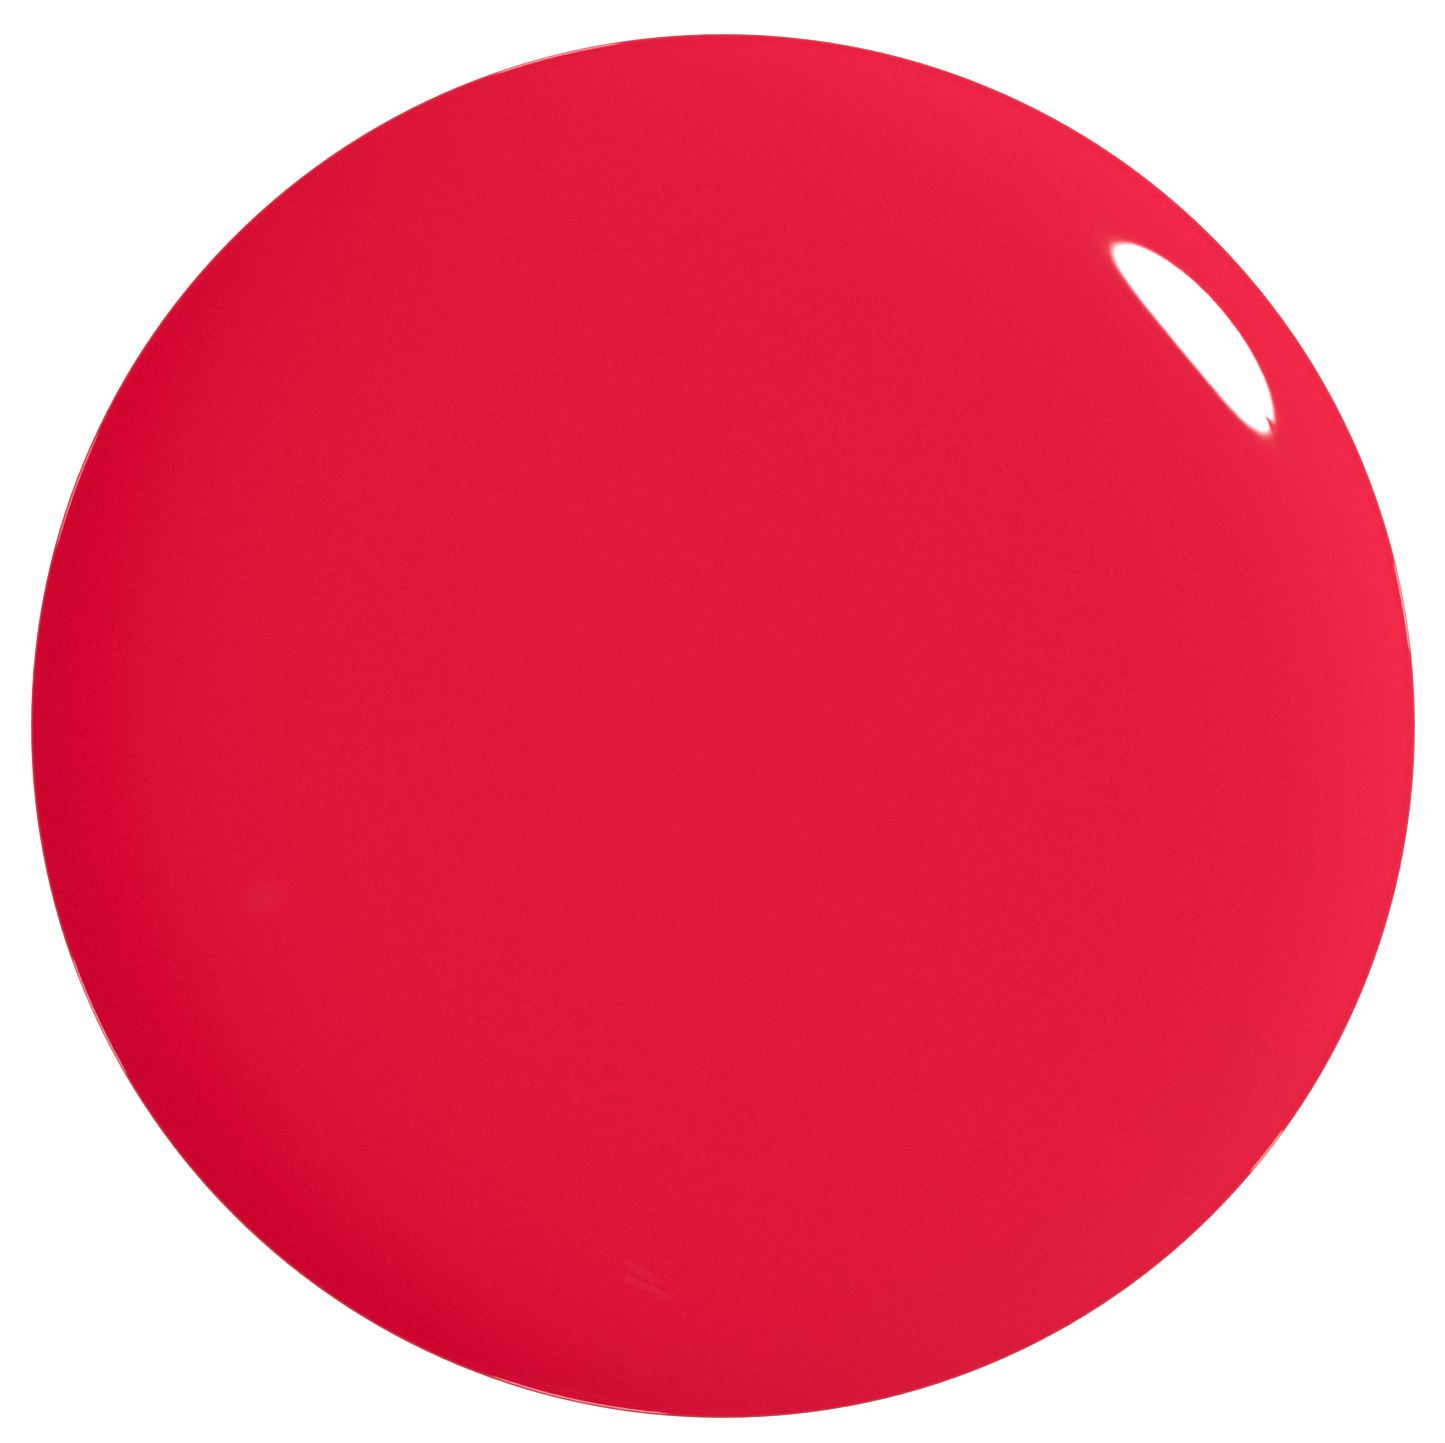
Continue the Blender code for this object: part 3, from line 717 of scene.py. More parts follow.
@dataclass(frozen=True)
class Finish:
    """A material's plain values and the shared effects it carries."""

    name: str
    colour: Colour
    second: Colour | None = None
    contrast: float = 0.5
    cloud_scale: float = 110.0
    speck_scale: float = 4200.0
    speck_weight: float = 1.0
    clean: float = 0.3
    dulled: float = 0.45
    smudge_scale: float = 160.0
    metallic: float = 0.0
    transmission: float = 0.0
    ior: float = 1.5
    subsurface: float = 0.0
    subsurface_reach: float = 1.0 * MM
    grain_depth: float = 0.0
    grain_fine: float = 5000.0
    grain_slow: float = 300.0
    wet_level: float = 0.0
    wet_waver: float = 2.0 * MM

    def material(self) -> Material:
        """Builds the material.

        Returns:
            The material.
        """
        material = bpy.data.materials.new(self.name)
        material.use_nodes = True
        wiring = Wiring(material.node_tree)
        shader = material.node_tree.nodes["Principled BSDF"]
        shader.inputs["Metallic"].default_value = self.metallic
        shader.inputs["Transmission Weight"].default_value = self.transmission
        shader.inputs["IOR"].default_value = self.ior
        shader.inputs["Subsurface Weight"].default_value = self.subsurface
        shader.inputs["Subsurface Scale"].default_value = self.subsurface_reach
        colour = self.wire_colour(wiring)
        rough = self.wire_roughness(wiring)
        if self.wet_level > 0.0:
            wet = wiring.effect(Effects.wet_line(), Level=self.wet_level, Waver=self.wet_waver)
            colour = wiring.blend(wet.outputs["Mask"], colour, LACQUER)
            dry = wiring.math("SUBTRACT", rough, WET_ROUGHNESS)
            left = wiring.math("MULTIPLY", dry, wiring.spread(wet.outputs["Mask"], 0.0, 1.0, 1.0, 0.0))
            rough = wiring.math("ADD", left, WET_ROUGHNESS)
        wiring.link(colour, shader.inputs["Base Color"])
        wiring.link(rough, shader.inputs["Roughness"])
        if self.grain_depth > 0.0:
            self.wire_grain(wiring, shader)
        return material

    def wire_colour(self, wiring: Wiring) -> Socket:
        """Wires the clouded colour.

        Args:
            wiring: the material's wiring.

        Returns:
            The colour.
        """
        clouds = wiring.effect(
            Effects.clouds(), Scale=self.cloud_scale, Specks=self.speck_scale,
            Grain=self.speck_weight, Contrast=self.contrast,
        )
        second = self.second or tuple(0.9 * part for part in self.colour)
        return wiring.blend(clouds.outputs["Mask"], self.colour, second)

    def wire_roughness(self, wiring: Wiring) -> Socket:
        """Wires the handled gloss.

        Args:
            wiring: the material's wiring.

        Returns:
            The roughness.
        """
        smudges = wiring.effect(
            Effects.smudges(), Scale=self.smudge_scale, Clean=self.clean, Dulled=self.dulled
        )
        return smudges.outputs["Roughness"]

    def wire_grain(self, wiring: Wiring, shader: Node) -> None:
        """Wires the grain's relief.

        Args:
            wiring: the material's wiring.
            shader: the material's shader.
        """
        grain = wiring.effect(Effects.grain(), Fine=self.grain_fine, Slow=self.grain_slow)
        wiring.relief(grain.outputs["Height"], self.grain_depth, shader)


@dataclass(frozen=True)
class Mark:
    """A pale mark in a poured surface: its place, its turn in degrees, its half sizes and its strength."""

    x: float
    y: float
    turn: float
    length: float
    width: float
    strength: float


@dataclass(frozen=True)
class PouredFinish(Finish):
    """A poured lacquer, with faint paler oval marks mixed into its colour."""

    marks: tuple[Mark, ...] = ()
    pale: Colour = (0.80, 0.02, 0.075)

    def wire_colour(self, wiring: Wiring) -> Socket:
        """Wires the marks over the clouded colour.

        Args:
            wiring: the material's wiring.

        Returns:
            The colour.
        """
        colour = super().wire_colour(wiring)
        for mark in self.marks:
            mapping = wiring.add("Mapping", vector_type="TEXTURE")
            mapping.inputs["Location"].default_value = (mark.x, mark.y, 0.0)
            mapping.inputs["Rotation"].default_value = (0.0, 0.0, math.radians(mark.turn))
            wiring.link(wiring.place(), mapping.inputs["Vector"])
            axes = wiring.add("SeparateXYZ")
            wiring.link(mapping.outputs["Vector"], axes.inputs[0])
            oval = wiring.effect(Effects.oval_mask(), Length=mark.length, Width=mark.width)
            wiring.link(axes.outputs["X"], oval.inputs["Along"])
            wiring.link(axes.outputs["Y"], oval.inputs["Across"])
            share = wiring.math("MULTIPLY", oval.outputs["Mask"], mark.strength)
            colour = wiring.blend(share, colour, self.pale)
        return colour


@dataclass(frozen=True)
class TurnedFinish(Finish):
    """A machined finish, with the fine rings that a lathe leaves."""

    ring_pitch: float = 0.12 * MM
    ring_depth: float = 0.002 * MM

    def wire_grain(self, wiring: Wiring, shader: Node) -> None:
        """Wires rings round the axis in place of grain.

        Args:
            wiring: the material's wiring.
            shader: the material's shader.
        """
        rings = wiring.add("TexWave", wave_type="RINGS", rings_direction="Z")
        rings.inputs["Scale"].default_value = 0.5 / self.ring_pitch / math.pi
        rings.inputs["Distortion"].default_value = 0.4
        rings.inputs["Detail"].default_value = 1.0
        wiring.link(wiring.place(), rings.inputs["Vector"])
        wiring.relief(rings.outputs["Fac"], self.ring_depth, shader)


@dataclass(frozen=True)
class LabelFinish(Finish):
    """Coated paper with a printed ring and a dot of the lacquer's colour."""

    ring_radius: float = 9.2 * MM
    ring_width: float = 0.35 * MM
    dot_radius: float = 4.2 * MM
    ink: Colour = (0.05, 0.05, 0.055)
    print_edge: float = 0.03 * MM

    def wire_colour(self, wiring: Wiring) -> Socket:
        """Wires the print over the paper.

        Args:
            wiring: the material's wiring.

        Returns:
            The colour.
        """
        paper = super().wire_colour(wiring)
        flat = wiring.add("VectorMath", operation="MULTIPLY")
        flat.inputs[1].default_value = (1.0, 1.0, 0.0)
        wiring.link(wiring.place(), flat.inputs[0])
        length = wiring.add("VectorMath", operation="LENGTH")
        wiring.link(flat.outputs[0], length.inputs[0])
        radius = length.outputs["Value"]
        from_ring = wiring.math("ABSOLUTE", wiring.math("SUBTRACT", radius, self.ring_radius), 0.0)
        half, soft = self.ring_width / 2, self.print_edge
        ring = wiring.spread(from_ring, half - soft, half + soft, 1.0, 0.0)
        dot = wiring.spread(radius, self.dot_radius - soft, self.dot_radius + soft, 1.0, 0.0)
        ringed = wiring.blend(ring, paper, self.ink)
        return wiring.blend(dot, ringed, LACQUER)


POURED_LACQUER = PouredFinish(
    "poured_red_lacquer", (0.825, 0.0034, 0.0445), (0.665, 0.0, 0.0245), contrast=0.22, cloud_scale=130.0,
    speck_scale=16000.0, speck_weight=5.7, clean=0.035, dulled=0.05, smudge_scale=90.0,
    grain_depth=0.0006 * MM, grain_fine=900.0, grain_slow=150.0,
    # Paler oval marks mixed into the colour at listed places: two narrow ones near the rim towards -Y, and
    # a broad one towards -X.
    marks=(
        Mark(-1.75 * MM, -11.75 * MM, -32.0, 0.6 * MM, 0.12 * MM, 0.3),
        Mark(-1.65 * MM, -12.1 * MM, -24.0, 0.8 * MM, 0.1 * MM, 0.35),
        Mark(-9.85 * MM, -3.7 * MM, 15.0, 0.7 * MM, 0.45 * MM, 0.2),
    ),
)
BOTTLED_LACQUER = Finish(
    "bottled_red_lacquer", LACQUER, LACQUER_DEEP, contrast=0.7, cloud_scale=90.0,
    clean=0.06, dulled=0.1, ior=1.12, grain_depth=0.0006 * MM, grain_fine=700.0, grain_slow=120.0,
)
CLEAR_GLASS = Finish(
    "clear_flint_glass", (0.985, 0.995, 0.99), (0.98, 0.995, 0.988), clean=0.0, dulled=0.03,
    smudge_scale=90.0, transmission=1.0, ior=1.52,
    grain_depth=0.008 * MM, grain_fine=110.0, grain_slow=45.0,
)
CLEAR_ACRYLIC = Finish(
    "clear_acrylic", (0.97, 0.97, 0.97), (0.96, 0.96, 0.965), clean=0.01, dulled=0.05,
    transmission=1.0, ior=1.49, grain_depth=0.001 * MM, grain_fine=900.0,
)
BLACK_GLOSS = Finish(
    "piano_black_gloss", (0.006, 0.006, 0.007), (0.009, 0.009, 0.010), clean=0.05, dulled=0.13,
    smudge_scale=140.0, grain_depth=0.0015 * MM, grain_fine=500.0, grain_slow=90.0,
)
BLACK_SATIN = Finish(
    "satin_black_polypropylene", (0.016, 0.016, 0.017), (0.022, 0.022, 0.023), clean=0.34, dulled=0.46,
    smudge_scale=240.0, grain_depth=0.01 * MM, grain_fine=5200.0, grain_slow=500.0,
)
NATURAL_PLASTIC = Finish(
    "natural_polyethylene", (0.80, 0.80, 0.765), (0.74, 0.74, 0.70), contrast=0.6, clean=0.3, dulled=0.42,
    subsurface=0.35, grain_depth=0.006 * MM, grain_fine=3200.0, grain_slow=420.0, wet_level=31.0 * MM,
)
BRISTLE_NYLON = Finish(
    "black_nylon_filament", (0.02, 0.018, 0.018), (0.035, 0.03, 0.03), contrast=0.8, cloud_scale=900.0,
    clean=0.22, dulled=0.35, wet_level=17.8 * MM, wet_waver=5.0 * MM,
)
BALL_STEEL = Finish(
    "ball_stainless_steel", (0.64, 0.645, 0.65), (0.60, 0.605, 0.61), clean=0.1, dulled=0.22,
    metallic=1.0, grain_depth=0.0008 * MM, grain_fine=4000.0,
)
WIRE_BRASS = Finish(
    "drawn_brass_wire", (0.74, 0.53, 0.24), (0.66, 0.45, 0.19), clean=0.22, dulled=0.36,
    metallic=1.0, grain_depth=0.001 * MM, grain_fine=6000.0,
)
FOAM = Finish(
    "white_polyethylene_foam", (0.83, 0.83, 0.81), (0.76, 0.76, 0.74), contrast=0.8, clean=0.6, dulled=0.8,
    subsurface=0.2, grain_depth=0.03 * MM, grain_fine=3800.0, grain_slow=900.0,
)
TURNED_STEEL = TurnedFinish(
    "turned_zinc_plated_steel", (0.60, 0.61, 0.62), (0.54, 0.55, 0.56), clean=0.26, dulled=0.4,
    metallic=1.0, grain_depth=0.001 * MM,
)
LABEL_PAPER = LabelFinish(
    "coated_label_paper", (0.84, 0.84, 0.83), (0.80, 0.80, 0.79), contrast=0.6, clean=0.45, dulled=0.6,
    grain_depth=0.004 * MM, grain_fine=2600.0, grain_slow=700.0,
)


class Workshop:
    """Dresses each piece and hands it over to its body."""

    materials: dict[str, Material] = {}

    @classmethod
    def deliver(
        cls, piece: Object, finish: Finish, body: str, node: str, slot: str
    ) -> Object:
        """Gives a piece its finish and its body, and hides the CAD node that it stands for.

        Args:
            piece: the finished mesh.
            finish: its finish.
            body: the body it moves with.
            node: the CAD node it replaces.
            slot: the record's material slot; not used.

        Returns:
            The piece.
        """
        if finish.name not in cls.materials:
            cls.materials[finish.name] = finish.material()
        piece.data.materials.clear()
        piece.data.materials.append(cls.materials[finish.name])
        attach(piece, body)
        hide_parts(node)
        LOG.info("%s: %d faces on body %s", piece.name, len(piece.data.polygons), body)
        return piece


# The bottle


@dataclass
class Bottle:
    """The glass, the lacquer in it, its mixing balls and the label under its base."""

    wall: float = 2.2 * MM
    base_thickness: float = 6.0 * MM
    body_height: float = 40.0 * MM
    shoulder_round: float = 2.2 * MM
    heel_round: float = 1.4 * MM
    inner_round: float = 2.4 * MM
    recess_radius: float = 11.2 * MM
    recess_depth: float = 1.1 * MM
    neck_radius: float = 6.6 * MM
    bore_radius: float = 4.0 * MM
    bead_radius: float = 7.5 * MM
    bead_height: float = 1.2 * MM
    bead_rise: float = 1.2 * MM
    thread_depth: float = 0.72 * MM
    thread_rise: float = 2.8 * MM
    thread_turns: float = 1.75
    wetting: float = 0.03 * MM
    film: float = 0.09 * MM
    film_height: float = 2.4 * MM
    film_waver: float = 0.28 * MM
    meniscus_height: float = 1.1 * MM
    meniscus_reach: float = 1.0 * MM

    def __post_init__(self) -> None:
        """Reads the sizes that the frame gives."""
        low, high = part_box("glass_bottle")
        self.radius = high.x
        self.lip = high.z
        self.inner = self.radius - self.wall
        self.inner_shoulder = self.body_height - self.wall
        self.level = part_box("lacquer_fill")[1].z

    def glass(self) -> Object:
        """Turns the glass in one profile, up the outside, over the lip and down the inside.

        Returns:
            The glass piece.
        """
        bead = self.body_height + self.bead_rise
        stations = [
            Station(self.recess_radius - 0.5 * MM, self.recess_depth, 0.3 * MM, 4),
            Station(self.recess_radius + 0.3 * MM, 0.0, 0.35 * MM, 4),
            Station(self.radius, 0.0, self.heel_round, 8),
            Station(self.radius, self.body_height, self.shoulder_round, 10),
            Station(self.neck_radius, self.body_height, 0.6 * MM, 5),
            Station(self.neck_radius, bead, 0.15 * MM, 3),
            Station(self.bead_radius, bead + 0.2 * MM, 0.4 * MM, 4),
            Station(self.bead_radius, bead + self.bead_height - 0.2 * MM, 0.4 * MM, 4),
            Station(self.neck_radius, bead + self.bead_height, 0.15 * MM, 3),
            Station(self.neck_radius, self.lip, 0.45 * MM, 5),
            Station(self.bore_radius, self.lip, 0.45 * MM, 5),
            Station(self.bore_radius, self.inner_shoulder, self.inner_round, 8),
            Station(self.inner, self.inner_shoulder, self.inner_round, 8),
            Station(self.inner, self.base_thickness, self.inner_round, 8),
        ]
        piece = turned("glass", stations)
        thread = Thread(
            root=self.neck_radius,
            crest=self.neck_radius + self.thread_depth,
            start=bead + self.bead_height + self.thread_rise,
            turns=self.thread_turns,
        )
        combine(piece, thread.ridge("neck_thread"), Solid.ADD)
        return Workshop.deliver(piece, CLEAR_GLASS, "bottle", "glass_bottle", "clear_glass")

    def lacquer(self) -> Object:
        """Turns the liquid, which wets the glass and climbs it in a meniscus and a thin film.

        Returns:
            The lacquer piece.
        """
        wetted = self.inner + self.wetting
        floor = self.base_thickness - self.wetting
        film_edge = self.level + self.film_height
        reach = self.inner - self.film
        surface = []
        for depth in (0.0, 0.15, 0.35, 0.6, 1.0, 1.5, 2.2, 3.2, 4.6):
            climb = self.meniscus_height * math.exp(-depth)
            surface.append(Station(reach - depth * self.meniscus_reach, self.level + climb))
        stations = [
            Station(wetted, floor, self.inner_round, 8),
            Station(wetted, self.level - 4.0 * MM),
            Station(wetted, film_edge),
            Station(reach, film_edge),
            *surface,
        ]
        piece = turned("lacquer", stations)
        for vertex in piece.data.vertices:
            above = vertex.co.z - self.level - self.meniscus_height
            if above > 0.0 and math.hypot(vertex.co.x, vertex.co.y) > reach - 0.02 * MM:
                angle = math.atan2(vertex.co.y, vertex.co.x)
                wave = math.sin(3 * angle + 0.7) + 0.6 * math.sin(7 * angle)
                wave += 0.35 * math.sin(13 * angle + 2)
                vertex.co.z += self.film_waver * wave
        return Workshop.deliver(piece, BOTTLED_LACQUER, "bottle", "lacquer_fill", "red_lacquer")

    def label(self) -> Object:
        """Turns the label, stuck up against the recess.

        Returns:
            The label piece.
        """
        low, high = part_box("base_label")
        top = self.recess_depth - 0.01 * MM
        stations = [
            Station(high.x, top, 0.04 * MM, 2),
            Station(high.x, low.z + 0.1 * MM, 0.08 * MM, 3),
        ]
        piece = turned("label", stations, PLAIN_SIDES)
        return Workshop.deliver(piece, LABEL_PAPER, "bottle", "base_label", "paper")

    def ball(self, number: int) -> Object:
        """Rounds a cube into a mixing ball.

        Args:
            number: which ball it is.

        Returns:
            The ball piece.
        """
        node = f"mixing_ball_{number}"
        low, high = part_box(node)
        deselect()
        bpy.ops.mesh.primitive_cube_add(size=high.z - low.z, location=(low + high) / 2)
        piece = bpy.context.object
        with editing():
            bpy.ops.mesh.subdivide(number_cuts=11)
        radius = (high.z - low.z) / 2
        for vertex in piece.data.vertices:
            vertex.co = vertex.co.normalized() * radius
        piece = take_new(f"ball_{number}")
        smooth(piece)
        return Workshop.deliver(piece, BALL_STEEL, f"ball_{number}", node, "ball_steel")

    def build(self) -> None:
        """Builds the bottle's pieces."""
        self.glass()
        self.lacquer()
        self.label()
        for number in (1, 2):
            self.ball(number)


# The brush cap


@dataclass
class BrushCap:
    """The inner cap with its socket and thread, the liner, the stem, the anchor and the bristles."""

    chamber_radius: float = 7.65 * MM
    top_wall: float = 1.6 * MM
    socket_radius: float = 2.9 * MM
    socket_wall: float = 1.3 * MM
    socket_drop: float = 11.0 * MM
    web_count: int = 6
    web_thickness: float = 0.8 * MM
    flute_count: int = 30
    flute_radius: float = 0.6 * MM
    flute_depth: float = 0.55 * MM
    flute_end_round: float = 0.35 * MM
    skirt_band: float = 2.0 * MM
    thread_crest: float = 6.97 * MM
    thread_start: float = 44.1417 * MM
    thread_turns: float = 1.6
    liner_hole: float = 4.2 * MM
    liner_squeeze: float = 0.28 * MM
    lip_radius: float = 6.5 * MM
    plug_radius: float = 2.75 * MM
    barb_count: int = 4
    barb_pitch: float = 2.0 * MM
    flange_top: float = 55.1 * MM
    flange_base: float = 54.1 * MM
    neck_plug_end: float = 51.7 * MM
    stem_start: float = 49.5 * MM
    stem_radius: float = 1.9 * MM
    ferrule_radius: float = 2.3 * MM
    ferrule_length: float = 7.6 * MM
    neck_plug_radius: float = 3.65 * MM
    hole_radius: float = 1.7 * MM
    hole_depth: float = 4.4 * MM
    filament_count: int = 260
    filament_radius: float = 0.062 * MM
    filament_steps: int = 8
    filament_lean: float = 0.05 * MM
    tuft_root: float = 1.32 * MM
    tuft_half_depth: float = 1.0 * MM
    tuft_seed: int = 7

    def __post_init__(self) -> None:
        """Reads the sizes that the frame gives."""
        low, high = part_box("inner_cap")
        self.radius = high.x
        self.skirt_end, self.top = low.z, high.z
        self.ceiling = self.top - self.top_wall

    def cap(self) -> Object:
        """Turns the inner cap, adds its webs and thread, and cuts its flutes.

        Returns:
            The inner cap piece.
        """
        socket_end = self.ceiling - self.socket_drop
        outer = self.socket_radius + self.socket_wall
        stations = [
            Station(self.radius, self.top, 1.0 * MM, 6),
            Station(self.radius, self.skirt_end, 0.35 * MM, 4),
            Station(self.chamber_radius, self.skirt_end, 0.35 * MM, 4),
            Station(self.chamber_radius, self.ceiling, 0.3 * MM, 3),
            Station(outer, self.ceiling, 0.3 * MM, 3),
            Station(outer, socket_end, 0.25 * MM, 3),
            Station(self.socket_radius, socket_end, 0.3 * MM, 3),
            Station(self.socket_radius, self.ceiling),
        ]
        piece = turned("cap", stations, 120)
        length = self.chamber_radius - outer + 0.6 * MM
        height = self.ceiling - socket_end - 0.4 * MM
        web = bar(
            "socket_web",
            (length, self.web_thickness, height + 0.4 * MM),
            (outer - 0.3 * MM + length / 2, 0.0, socket_end + 0.4 * MM + (height + 0.4 * MM) / 2),
        )
        combine(piece, copies_around(web, self.web_count), Solid.ADD)
        thread = Thread(
            root=self.chamber_radius,
            crest=self.thread_crest,
            start=self.thread_start,
            turns=self.thread_turns,
        )
        combine(piece, thread.ridge("cap_thread"), Solid.ADD)
        flute_start = self.skirt_end + self.skirt_band
        deselect()
        reach = self.top + self.flute_radius - flute_start
        bpy.ops.mesh.primitive_cylinder_add(
            vertices=16,
            radius=self.flute_radius,
            depth=reach,
            location=(self.radius + self.flute_radius - self.flute_depth, 0.0, flute_start + reach / 2),
        )
        flute = take_new("grip_flute")
        with editing():
            bpy.ops.mesh.bevel(offset=self.flute_end_round, segments=4, affect="EDGES", clamp_overlap=True)
        combine(piece, copies_around(flute, self.flute_count), Solid.CUT)
        return Workshop.deliver(piece, BLACK_SATIN, "brush_cap", "inner_cap", "black_polypropylene")

    def liner(self) -> Object:
        """Turns the foam washer, squeezed between the lip and the flange.

        Returns:
            The liner piece.
        """
        low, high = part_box("cap_liner")
        base, top = low.z - self.liner_squeeze, high.z + self.liner_squeeze
        pressed, free = base + 0.06 * MM, base - 0.12 * MM
        inner, lip_edge = self.liner_hole, self.lip_radius
        stations = [
            Station(inner, pressed, 0.1 * MM, 3),
            Station(lip_edge - 0.25 * MM, pressed, 0.1 * MM, 3),
            Station(lip_edge + 0.25 * MM, free, 0.1 * MM, 3),
            Station(high.x, free, 0.2 * MM, 4),
            Station(high.x, top, 0.15 * MM, 4),
            Station(inner, top, 0.1 * MM, 3),
        ]
        piece = turned("liner", stations, PLAIN_SIDES, Close.RING)
        return Workshop.deliver(piece, FOAM, "seal", "cap_liner", "white_foam")

    def stem(self) -> Object:
        """Turns the stem with its barbed plug, flange, neck plug and hollow ferrule.

        Returns:
            The stem piece.
        """
        low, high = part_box("brush_stem")
        barb_root, barb_crest = self.plug_radius - 0.2 * MM, self.plug_radius + 0.12 * MM
        taper = self.stem_radius - 0.12 * MM
        ferrule_top = low.z + self.ferrule_length
        stations = [
            Station(self.stem_radius, high.z, 0.25 * MM, 4),
            Station(self.stem_radius + 0.3 * MM, high.z - 0.4 * MM),
        ]
        for n in range(self.barb_count):
            top = high.z - 0.9 * MM - n * self.barb_pitch
            stations += [
                Station(barb_root, top),
                Station(barb_crest, top - 1.3 * MM, 0.08 * MM, 2),
                Station(barb_root, top - 1.5 * MM),
            ]
        stations += [
            Station(barb_root, self.flange_top, 0.2 * MM, 3),
            Station(high.x, self.flange_top, 0.2 * MM, 4),
            Station(high.x, self.flange_base, 0.2 * MM, 4),
            Station(self.neck_plug_radius, self.flange_base, 0.15 * MM, 3),
            Station(self.neck_plug_radius, self.neck_plug_end, 0.5 * MM, 4),
            Station(self.stem_radius, self.stem_start, 0.6 * MM, 4),
            Station(self.stem_radius, self.stem_start - 2.5 * MM),
            Station(taper, ferrule_top + 3.0 * MM),
            Station(taper, ferrule_top, 0.3 * MM, 3),
            Station(self.ferrule_radius, ferrule_top - 0.8 * MM, 0.3 * MM, 3),
            Station(self.ferrule_radius, low.z, 0.35 * MM, 4),
            Station(self.hole_radius, low.z, 0.2 * MM, 3),
            Station(self.hole_radius, low.z + self.hole_depth, 0.2 * MM, 3),
        ]
        piece = turned("stem", stations, 64)
        return Workshop.deliver(piece, NATURAL_PLASTIC, "brush_cap", "brush_stem", "natural_polyethylene")

    def anchor(self) -> Object:
        """Rounds the anchor wire's edges.

        Returns:
            The anchor piece.
        """
        low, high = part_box("bristle_anchor")
        piece = bar("anchor", high - low, (low + high) / 2, 0.08 * MM)
        smooth(piece)
        return Workshop.deliver(piece, WIRE_BRASS, "brush_cap", "bristle_anchor", "anchor_brass")

    def filament_path(self, across: float, along: float, reach: float) -> list[Vector]:
        """Lays one filament from the ferrule's hole to the tip.

        Args:
            across: its place across the tuft's width, from -1 to 1.
            along: its place through the tuft's depth, from -1 to 1.
            reach: how much of the full length it has.

        Returns:
            The points that it passes.
        """
        low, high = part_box("bristle_tuft")
        root, steps = self.tuft_root, self.filament_steps
        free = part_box("brush_stem")[0].z
        wide = (high.x - low.x) / 2 - self.filament_radius
        tip = low.z + (1.0 - reach) * 1.2 * MM + 1.5 * MM * abs(across) ** 2.6
        points = []
        for step in range(steps + 1):
            share = step / steps
            height = high.z + (tip - high.z) * share
            out = smooth_step((free - height) / (free - low.z) * 1.25)
            gather = 1.0 - 0.16 * smooth_step((share - 0.78) / 0.22)
            x = across * (root + (wide - root) * out) * gather
            y = along * (root + (self.tuft_half_depth - root) * out)
            y *= 1.0 - 0.45 * smooth_step((share - 0.5) / 0.5)
            points.append(Vector((x, y, height)))
        return points

    def tuft(self) -> Object:
        """Lays the filaments, each a copy of one drawn strand bent to its own path.

        Returns:
            The tuft piece.
        """
        deselect()
        bpy.ops.mesh.primitive_circle_add(vertices=5, radius=self.filament_radius)
        strand = take_new("filament")
        with editing():
            for _ in range(self.filament_steps):
                bpy.ops.mesh.extrude_region_move(TRANSFORM_OT_translate={"value": (0.0, 0.0, -MM)})
            widen(0.5)
            bpy.ops.mesh.edge_face_add()
            select_ring(strand, self.filament_radius, 0.0)
            bpy.ops.mesh.edge_face_add()
            face_outwards()
        rng = random.Random(self.tuft_seed)
        golden = math.pi * (3.0 - math.sqrt(5.0))
        made = []
        for n in range(self.filament_count):
            spot = math.sqrt((n + 0.5) / self.filament_count)
            across, along = spot * math.cos(golden * n), spot * math.sin(golden * n)
            path = self.filament_path(across, along, 1.0 - 0.5 * rng.random() ** 2)
            lean = Vector((rng.uniform(-1, 1), rng.uniform(-1, 1), 0.0)) * self.filament_lean
            copy = duplicate(strand)
            for vertex in copy.data.vertices:
                step = round(-vertex.co.z / MM)
                offset = Vector((vertex.co.x, vertex.co.y, 0.0))
                vertex.co = path[step] + offset + lean * (step / self.filament_steps) ** 2
            made.append(copy)
        bpy.data.objects.remove(strand, do_unlink=True)
        piece = join(made)
        piece.name = "tuft"
        smooth(piece, 60.0)
        return Workshop.deliver(piece, BRISTLE_NYLON, "brush_cap", "bristle_tuft", "nylon_bristle")

    def build(self) -> None:
        """Builds the brush cap's pieces."""
        self.cap()
        self.liner()
        self.stem()
        self.anchor()
        self.tuft()


# The over-cap


